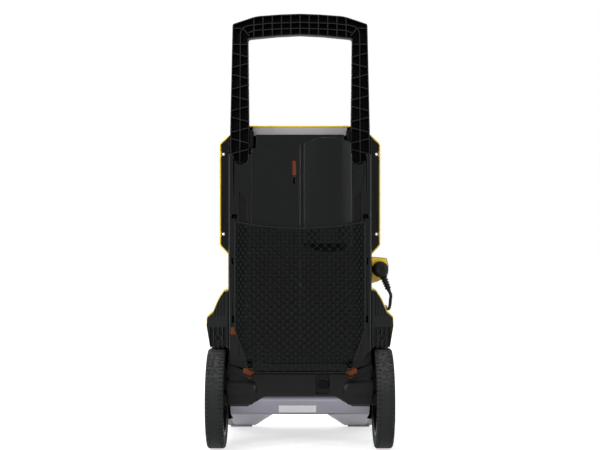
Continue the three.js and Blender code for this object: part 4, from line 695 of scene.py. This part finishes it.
def plug_piece():
    """Round plug head with finger grips round its rim and a ribbed strain relief."""
    middle = PLUG_FRONT_Y + PLUG_DEPTH / 2
    head = spun([
        (0, 0), (PLUG_RADIUS - 2.2, 0), (PLUG_RADIUS - 0.6, 0.7), (PLUG_RADIUS, 2.6),
        (PLUG_RADIUS, PLUG_DEPTH - 9), (PLUG_RADIUS - 0.8, PLUG_DEPTH - 6),
        (PLUG_RADIUS - 3, PLUG_DEPTH - 3), (PLUG_RADIUS - 6.5, PLUG_DEPTH - 0.9),
        (8, PLUG_DEPTH - 0.2), (6.5, PLUG_DEPTH - 1.2), (0, PLUG_DEPTH - 1.2),
    ], (0, 1, 0), (PLUG_X, PLUG_FRONT_Y, PLUG_Z), PLUG_STEPS)
    centre = Vector((PLUG_X, middle, PLUG_Z)) * MM
    grips = []
    for face in head.faces:
        spot = face.calc_center_median() - centre
        on_rim = PLUG_RADIUS * 0.985 < spot.xz.length / MM and face.calc_area() > 6e-6
        turn = int((math.atan2(spot.z, spot.x) + math.pi) / (2 * math.pi) * PLUG_STEPS)
        if on_rim and turn % PLUG_GRIP_EVERY == 0:
            grips.append(face)
    bmesh.ops.inset_individual(head, faces=grips, thickness=0.35 * MM, depth=-0.9 * MM)
    relief = spun(ribbed_profile(RELIEF_RADIUS + 0.6, RELIEF_TIP_RADIUS, RELIEF_LENGTH, RELIEF_RINGS, 2),
                  (0, 0, 1), (0, 0, 0), 24)
    bmesh.ops.rotate(relief, verts=relief.verts, cent=(0, 0, 0),
                     matrix=Matrix.Rotation(math.pi + RELIEF_TILT, 3, "Y"))
    bmesh.ops.translate(relief, verts=relief.verts, vec=Vector(along_relief(RELIEF_START)) * MM)
    pins = []
    for end in (-1, 1):
        pins.append(spun([(0, 0), (PIN_TIP_RADIUS, 0), (PIN_RADIUS, 1.2), (PIN_RADIUS, PIN_REACH + 2),
                          (0, PIN_REACH + 2)], (0, 1, 0),
                         (PLUG_X + end * PIN_OFFSET_X, PLUG_FRONT_Y - PIN_REACH, PLUG_Z), 20))
    mesh = joined("parked_plug", [(head, 0), (relief, 0), *((pin, 1) for pin in pins)])
    piece = add_object("parked_plug", mesh, "machine")
    piece.data.materials.append(RUBBER)
    piece.data.materials.append(ZINC)
    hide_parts("mains_plug")
    return piece


def joined(name, parts, sharp=45):
    """One mesh of several bmeshes, each with its own material index."""
    whole = bmesh.new()
    for part, index in parts:
        for face in part.faces:
            face.material_index = index
        carrier = bpy.data.meshes.new("carrier")
        part.to_mesh(carrier)
        part.free()
        whole.from_mesh(carrier)
        bpy.data.meshes.remove(carrier)
    return mesh_from(whole, name, sharp)


def gland_piece():
    """Strain relief that carries the cord out of the base tray's front."""
    body = spun(ribbed_profile(8, RELIEF_TIP_RADIUS, GLAND_LENGTH, RELIEF_RINGS, 1.6),
                (0, -1, 0), (GLAND_X, GLAND_ROOT_Y, GLAND_Z), 28)
    stem = spun([(0, 0), (6, 0), (6, 8), (0, 8)], (0, 1, 0), (GLAND_X, GLAND_ROOT_Y - 0.1, GLAND_Z), 28)
    mesh = joined("cord_relief", [(body, 0), (stem, 0)])
    piece = add_object("cord_relief", mesh, "machine")
    piece.data.materials.append(RUBBER)
    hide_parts("cord_gland")
    return piece


plug = plug_piece()
gland = gland_piece()
cord = mains_cord()


# ---------------------------------------------------------------- storage net
NET_HALF_WIDTH = 139
NET_Y = 135.2
NET_TOP_Z = 492
NET_SAG = 14
NET_TAPER_Z = 260
NET_LOW_HALF_WIDTH = 116
NET_LOW_Z = 169
NET_CORNER_Z = 192
NET_PITCH_X = 18
NET_PITCH_Z = 16
NET_GATHER_X = 116
NET_GATHER = 0.55
NET_STRAND = 1.1
NET_KNOT = 2.1
NET_HEM = 1.5
NET_SWELL = 5
NET_CORNER_RUN = 28
HEM_TOP_STEPS = 40
HEM_SIDE_STEPS = 60
TIE_RADIUS = 1.2
TIE_PLACES = ((142, 503.5), (144, 407), (142.5, 282))
SLOT_MOUTH_Y = 113


def net_half_width(z):
    if z >= NET_TAPER_Z:
        return NET_HALF_WIDTH
    if z >= NET_CORNER_Z:
        share = (NET_TAPER_Z - z) / (NET_TAPER_Z - NET_CORNER_Z)
        return NET_HALF_WIDTH - (NET_HALF_WIDTH - NET_LOW_HALF_WIDTH) * share
    drop = min(1, (NET_CORNER_Z - z) / (NET_CORNER_Z - NET_LOW_Z))
    return NET_LOW_HALF_WIDTH - NET_CORNER_RUN * (1 - math.sqrt(max(0, 1 - drop * drop)))


def net_top(x):
    return NET_TOP_Z - NET_SAG * (1 - (x / NET_HALF_WIDTH) ** 2)


def gathered(x):
    """Where a point of the flat net lies across: its sides are gathered towards the hem."""
    spare = abs(x) - NET_GATHER_X
    return x if spare <= 0 else math.copysign(NET_GATHER_X + NET_GATHER * spare, x)


def in_net(x, z):
    return NET_LOW_Z <= z <= net_top(gathered(x)) and abs(gathered(x)) <= net_half_width(z)


def on_net(x, z):
    """A point of the net in metres: it swells a little away from the shell in its middle."""
    across = 1 - min(1, abs(x) / NET_HALF_WIDTH) ** 2
    up = math.sin(math.pi * min(1, max(0, (z - NET_LOW_Z) / (NET_TOP_Z - NET_LOW_Z))))
    ripple = 0.5 * math.sin(x * 0.11 + z * 0.07) * across
    return Vector((x, NET_Y + (NET_SWELL + ripple) * across * up, z)) * MM


def laid(x, z):
    """A point of the flat net where it lies."""
    return on_net(gathered(x), z)


def net_edge(inner, outer):
    """Where a strand from a point inside the net to one outside it meets the hem."""
    for _ in range(12):
        middle = ((inner[0] + outer[0]) / 2, (inner[1] + outer[1]) / 2)
        if in_net(*middle):
            inner = middle
        else:
            outer = middle
    return inner


def net_strands():
    flat_half_width = NET_GATHER_X + (NET_HALF_WIDTH - NET_GATHER_X) / NET_GATHER
    columns = int(flat_half_width / (NET_PITCH_X / 2)) + 1
    rows = int((NET_TOP_Z - NET_LOW_Z) / (NET_PITCH_Z / 2)) + 2
    strands = []
    knots = []
    for row in range(-1, rows):
        for column in range(-columns - 1, columns + 2):
            if (row + column) % 2:
                continue
            spot = (column * NET_PITCH_X / 2, NET_LOW_Z + row * NET_PITCH_Z / 2)
            if in_net(*spot):
                knots.append(laid(*spot))
            for side in (-1, 1):
                far = (spot[0] + side * NET_PITCH_X / 2, spot[1] + NET_PITCH_Z / 2)
                if in_net(*spot) and in_net(*far):
                    strands.append([laid(*spot), laid(*far)])
                elif in_net(*spot):
                    strands.append([laid(*spot), laid(*net_edge(spot, far))])
                elif in_net(*far):
                    strands.append([laid(*net_edge(far, spot)), laid(*far)])
    return strands, knots


def net_hem_line():
    across = [NET_HALF_WIDTH * (1 - 2 * i / HEM_TOP_STEPS) for i in range(HEM_TOP_STEPS + 1)]
    line = [on_net(x, net_top(x)) for x in across]
    drop = NET_TOP_Z - NET_LOW_Z
    heights = [NET_TOP_Z - drop * i / HEM_SIDE_STEPS for i in range(1, HEM_SIDE_STEPS + 1)]
    line += [on_net(-net_half_width(z), z) for z in heights]
    line += [on_net(net_half_width(z), z) for z in reversed(heights)]
    return line


def net_ties():
    """Short cords that draw the hem to the slots in the shell."""
    ties = []
    for x, z in TIE_PLACES:
        for side in (-1, 1):
            held = min(z, NET_TOP_Z)
            hem = on_net(side * net_half_width(held), held)
            slot_mouth = Vector((side * x, SLOT_MOUTH_Y, z)) * MM
            ties.append([hem, hem.lerp(slot_mouth, 0.5) + Vector((side * 1.0, 0, -0.6)) * MM, slot_mouth])
    return ties


def storage_net():
    strands, knots = net_strands()
    net = add_object("net_mesh", tube_mesh("net_mesh", strands, NET_STRAND * MM, 1), "machine")
    net.data.materials.append(YARN)
    balls = bmesh.new()
    for spot in knots:
        bmesh.ops.create_icosphere(
            balls, subdivisions=1, radius=NET_KNOT * MM, matrix=Matrix.Translation(spot))
    knot_piece = add_object("net_knots", mesh_from(balls, "net_knots", 180), "machine")
    # The knots take the lighter yarn as painted highlight.
    knot_piece.data.materials.append(LIGHTER_YARN)
    hem_mesh = tube_mesh("net_hem", [net_hem_line()], NET_HEM * MM, 3, True)
    hem = add_object("net_hem", hem_mesh, "machine")
    hem.data.materials.append(LIGHTER_YARN)
    tie_mesh = tube_mesh("net_ties", net_ties(), TIE_RADIUS * MM, 2)
    ties = add_object("net_ties", tie_mesh, "machine")
    ties.data.materials.append(YARN)
    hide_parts("storage_net")
    return net, [knot_piece, hem, ties]


net, net_trim = storage_net()


# ---------------------------------------------------------------- wheels
AXLE_Y = 87
WHEEL_RADIUS = 108
TYRE_INNER_X = 161
TYRE_WIDTH = 39
RIM_RADIUS = 82
LUG_COUNT = 72
LUG_STEPS = 3
SHOULDER_WIDTH = 9.5
SHOULDER_DROP = 6.5


def tyre_piece(word, side):
    """Tyre with rounded shoulders, a groove line and notches cut across both shoulders."""
    profile = [
        (RIM_RADIUS, 2), (RIM_RADIUS + 5, 1.2), (RIM_RADIUS + 9, 2.0), (RIM_RADIUS + 12, 1.0),
        (WHEEL_RADIUS - SHOULDER_DROP, 0), (WHEEL_RADIUS - 3.4, 0.5), (WHEEL_RADIUS - 1.2, 2.2),
        (WHEEL_RADIUS, 5), (WHEEL_RADIUS, SHOULDER_WIDTH),
    ]
    profile += [(radius, TYRE_WIDTH - along) for radius, along in reversed(profile)]
    centre = (side * TYRE_INNER_X, AXLE_Y, WHEEL_RADIUS)
    steps = LUG_COUNT * LUG_STEPS
    tyre = spun(profile, (side, 0, 0), centre, steps, close=True)
    origin = Vector(centre) * MM
    notched = []
    for face in tyre.faces:
        middle = face.calc_center_median() - origin
        across = abs(middle.x) / MM
        turn = int((math.atan2(middle.z, middle.y) + math.pi) / (2 * math.pi) * steps)
        on_shoulder = (min(across, TYRE_WIDTH - across) < SHOULDER_WIDTH
                       and middle.yz.length / MM > WHEEL_RADIUS - SHOULDER_DROP)
        if on_shoulder and turn % LUG_STEPS == 0:
            notched.append(face)
    bmesh.ops.inset_region(tyre, faces=notched, thickness=0.25 * MM, depth=-1.7 * MM, use_even_offset=True)
    piece = add_object(f"tread_{word}", mesh_from(tyre, f"tread_{word}", 40), f"wheel_{word}")
    piece.data.materials.append(TYRE)
    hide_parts(f"tyre_{word}")


for word, side in SIDES:
    tyre_piece(word, side)
    moulded(f"wheel_rim_{word}", f"wheel_{word}", WHEEL, 1.1, 30)
    moulded(f"hub_cap_{word}", f"wheel_{word}", YELLOW, 1.0, 30)


# ---------------------------------------------------------------- mouldings
moulded("front_cover", "machine", YELLOW, 0.7, 24)
moulded("top_strip", "machine", TOP_EDGE_REFLECTION, 0.6)
moulded("rear_shell", "machine", SHELL, 0.9, 30)
moulded("base_tray", "machine", BASE, 1.0, 30)
moulded("telescopic_handle", "handle", RIBBED, 0.45, 35)
moulded("plug_bracket", "machine", YELLOW, 1.2, 30, 3)
moulded("keyhole_insert", "machine", ORANGE, 0.4)
moulded("net_clip", "machine", ORANGE, 0.4)
moulded("control_panel", "machine", BLACK, 1.2, 40, 3)
moulded("switch_knob", "knob", BLACK, 0.9, 30)
moulded("inlet_cap", "inlet_cap", BLACK, 0.7, 30)
for word, side in SIDES:
    moulded(f"fender_{word}", "machine", FENDER, 0.7, 30)
    moulded(f"latch_button_{word}", f"latch_{word}", BLACK, 0.6, 30)
    moulded(f"front_foot_{word}", "machine", FOOT, 0.6, 30)
    moulded(f"net_hook_{word}", "machine", ORANGE, 0.6, 30)


# ---------------------------------------------------------------- screws
SCREW_X = 166
SCREW_HEIGHTS = (639.3, 465.2)
SCREW_SEAT_Y = 84.3
SCREW_STEPS = 24


def flange_screw(name, x, z):
    """Domed screw head with a cross recess."""
    head = spun([
        (0, -16), (2, -14), (2, 0), (3.6, 0), (3.6, 0.5), (3.1, 1.4), (2.0, 2.0), (0.9, 2.15), (0, 2.2),
    ], (0, 1, 0), (x, SCREW_SEAT_Y, z), SCREW_STEPS)
    centre = Vector((x, SCREW_SEAT_Y, z)) * MM
    cross = []
    for face in head.faces:
        middle = face.calc_center_median() - centre
        turn = int((math.atan2(middle.z, middle.x) + math.pi) / (2 * math.pi) * SCREW_STEPS)
        if middle.y > 1.3 * MM and middle.xz.length < 2.5 * MM and turn % 6 == 0:
            cross.append(face)
    bmesh.ops.inset_region(head, faces=cross, thickness=0.02 * MM, depth=-0.7 * MM, use_even_offset=True)
    piece = add_object(f"{name}_head", mesh_from(head, name, 40), "machine")
    piece.data.materials.append(ZINC)
    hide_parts(name)


for word, side in SIDES:
    for i, z in enumerate(SCREW_HEIGHTS):
        flange_screw(f"flange_screw_{word}_{i + 1}", side * SCREW_X, z)


# ---------------------------------------------------------------- inner parts and fittings
def dress(material, *names):
    """Gives CAD solids that keep their own shape a finish."""
    for name in names:
        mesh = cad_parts[name].data
        mesh.materials.clear()
        mesh.materials.append(material)


dress(LABEL, "rating_plate")
dress(ZINC, "axle")
dress(BRASS, "inlet_coupling", "pressure_outlet", "high_pressure_pipe")
dress(BLACK, "handle_guide_left", "handle_guide_right", "main_switch", "cooling_fan", "pressure_switch")
dress(RUBBER, "inlet_hose")
dress(ALUMINIUM, "motor_housing", "pump_body", "run_capacitor")
dress(STEEL, "motor_stator", "motor_rotor", "motor_bearing_upper", "motor_bearing_lower", "wobble_plate",
      "piston_1", "piston_2", "piston_3", "pump_head")


# ---------------------------------------------------------------- stage and light
FLOOR_HALF_SIZE = 14
FLOOR_DROP = 0.0005
FLOOR_GLOW = 0.62
WORLD_LIGHT = 0.5
LAMP_TARGET = (0, 0, 0.45)
LAMPS = (
    ("key_lamp", (1.6, 2.4, 2.2), (1.6, 1.6), 44),
    ("fill_lamp", (-2.2, 1.6, 1.2), (1.8, 1.8), 11),
    ("left_strip", (1.8, 0.85, 0.6), (0.1, 1.6), 26),
    ("right_strip", (-1.8, 0.85, 0.6), (0.1, 1.6), 16),
    ("front_lamp", (0.6, -2.6, 1.9), (1.8, 1.8), 34),
)


def bright_rays(tree):
    """1 for camera, glossy and transmission rays, and 0 for the rays that light the object."""
    path = node(tree, "LightPath")
    seen = node(tree, "Math", operation="ADD", use_clamp=True)
    both = node(tree, "Math", operation="ADD", use_clamp=True)
    tree.links.new(path.outputs["Is Camera Ray"], seen.inputs[0])
    tree.links.new(path.outputs["Is Glossy Ray"], seen.inputs[1])
    tree.links.new(seen.outputs[0], both.inputs[0])
    tree.links.new(path.outputs["Is Transmission Ray"], both.inputs[1])
    return both.outputs[0]


def stage_material(name, color, glow):
    """A pale surface that the camera, glossy and clear surfaces see as white, with the shadow kept."""
    made = bpy.data.materials.new(name)
    made.use_nodes = True
    tree = made.node_tree
    shader = tree.nodes["Principled BSDF"]
    shader.inputs["Base Color"].default_value = (*color, 1)
    shader.inputs["Roughness"].default_value = 0.9
    shader.inputs["Specular IOR Level"].default_value = 0.1
    shader.inputs["Emission Color"].default_value = (1, 1, 1, 1)
    strength = node(tree, "Math", {1: glow}, operation="MULTIPLY")
    tree.links.new(bright_rays(tree), strength.inputs[0])
    tree.links.new(strength.outputs[0], shader.inputs["Emission Strength"])
    return made


def build_stage():
    bm = bmesh.new()
    bmesh.ops.create_grid(bm, x_segments=2, y_segments=2, size=FLOOR_HALF_SIZE)
    bmesh.ops.translate(bm, verts=bm.verts, vec=(0, 0, -FLOOR_DROP))
    mesh = bpy.data.meshes.new("floor")
    bm.to_mesh(mesh)
    bm.free()
    mesh.materials.append(stage_material("pale_floor", (0.72, 0.72, 0.72), FLOOR_GLOW))
    floor = bpy.data.objects.new("floor", mesh)
    bpy.context.scene.collection.objects.link(floor)


def soft_lamp(name, place, size, power):
    """A soft rectangular lamp that points at the machine's middle."""
    light = bpy.data.lights.new(name, "AREA")
    light.shape = "RECTANGLE"
    light.size, light.size_y = size
    light.energy = power
    lamp = bpy.data.objects.new(name, light)
    lamp.location = place
    lamp.rotation_euler = (Vector(LAMP_TARGET) - Vector(place)).to_track_quat("-Z", "Y").to_euler()
    bpy.context.scene.collection.objects.link(lamp)


def build_world():
    world = bpy.data.worlds.new("studio")
    bpy.context.scene.world = world
    world.use_nodes = True
    tree = world.node_tree
    backdrop = tree.nodes["Background"]
    backdrop.inputs["Color"].default_value = (1, 1, 1, 1)
    strength = node(tree, "MapRange", {1: 0.0, 2: 1.0, 3: WORLD_LIGHT, 4: 1.0})
    tree.links.new(bright_rays(tree), strength.inputs[0])
    tree.links.new(strength.outputs[0], backdrop.inputs["Strength"])


build_stage()
build_world()
for name, place, size, power in LAMPS:
    soft_lamp(name, place, size, power)
bpy.context.scene.view_settings.view_transform = "Standard"
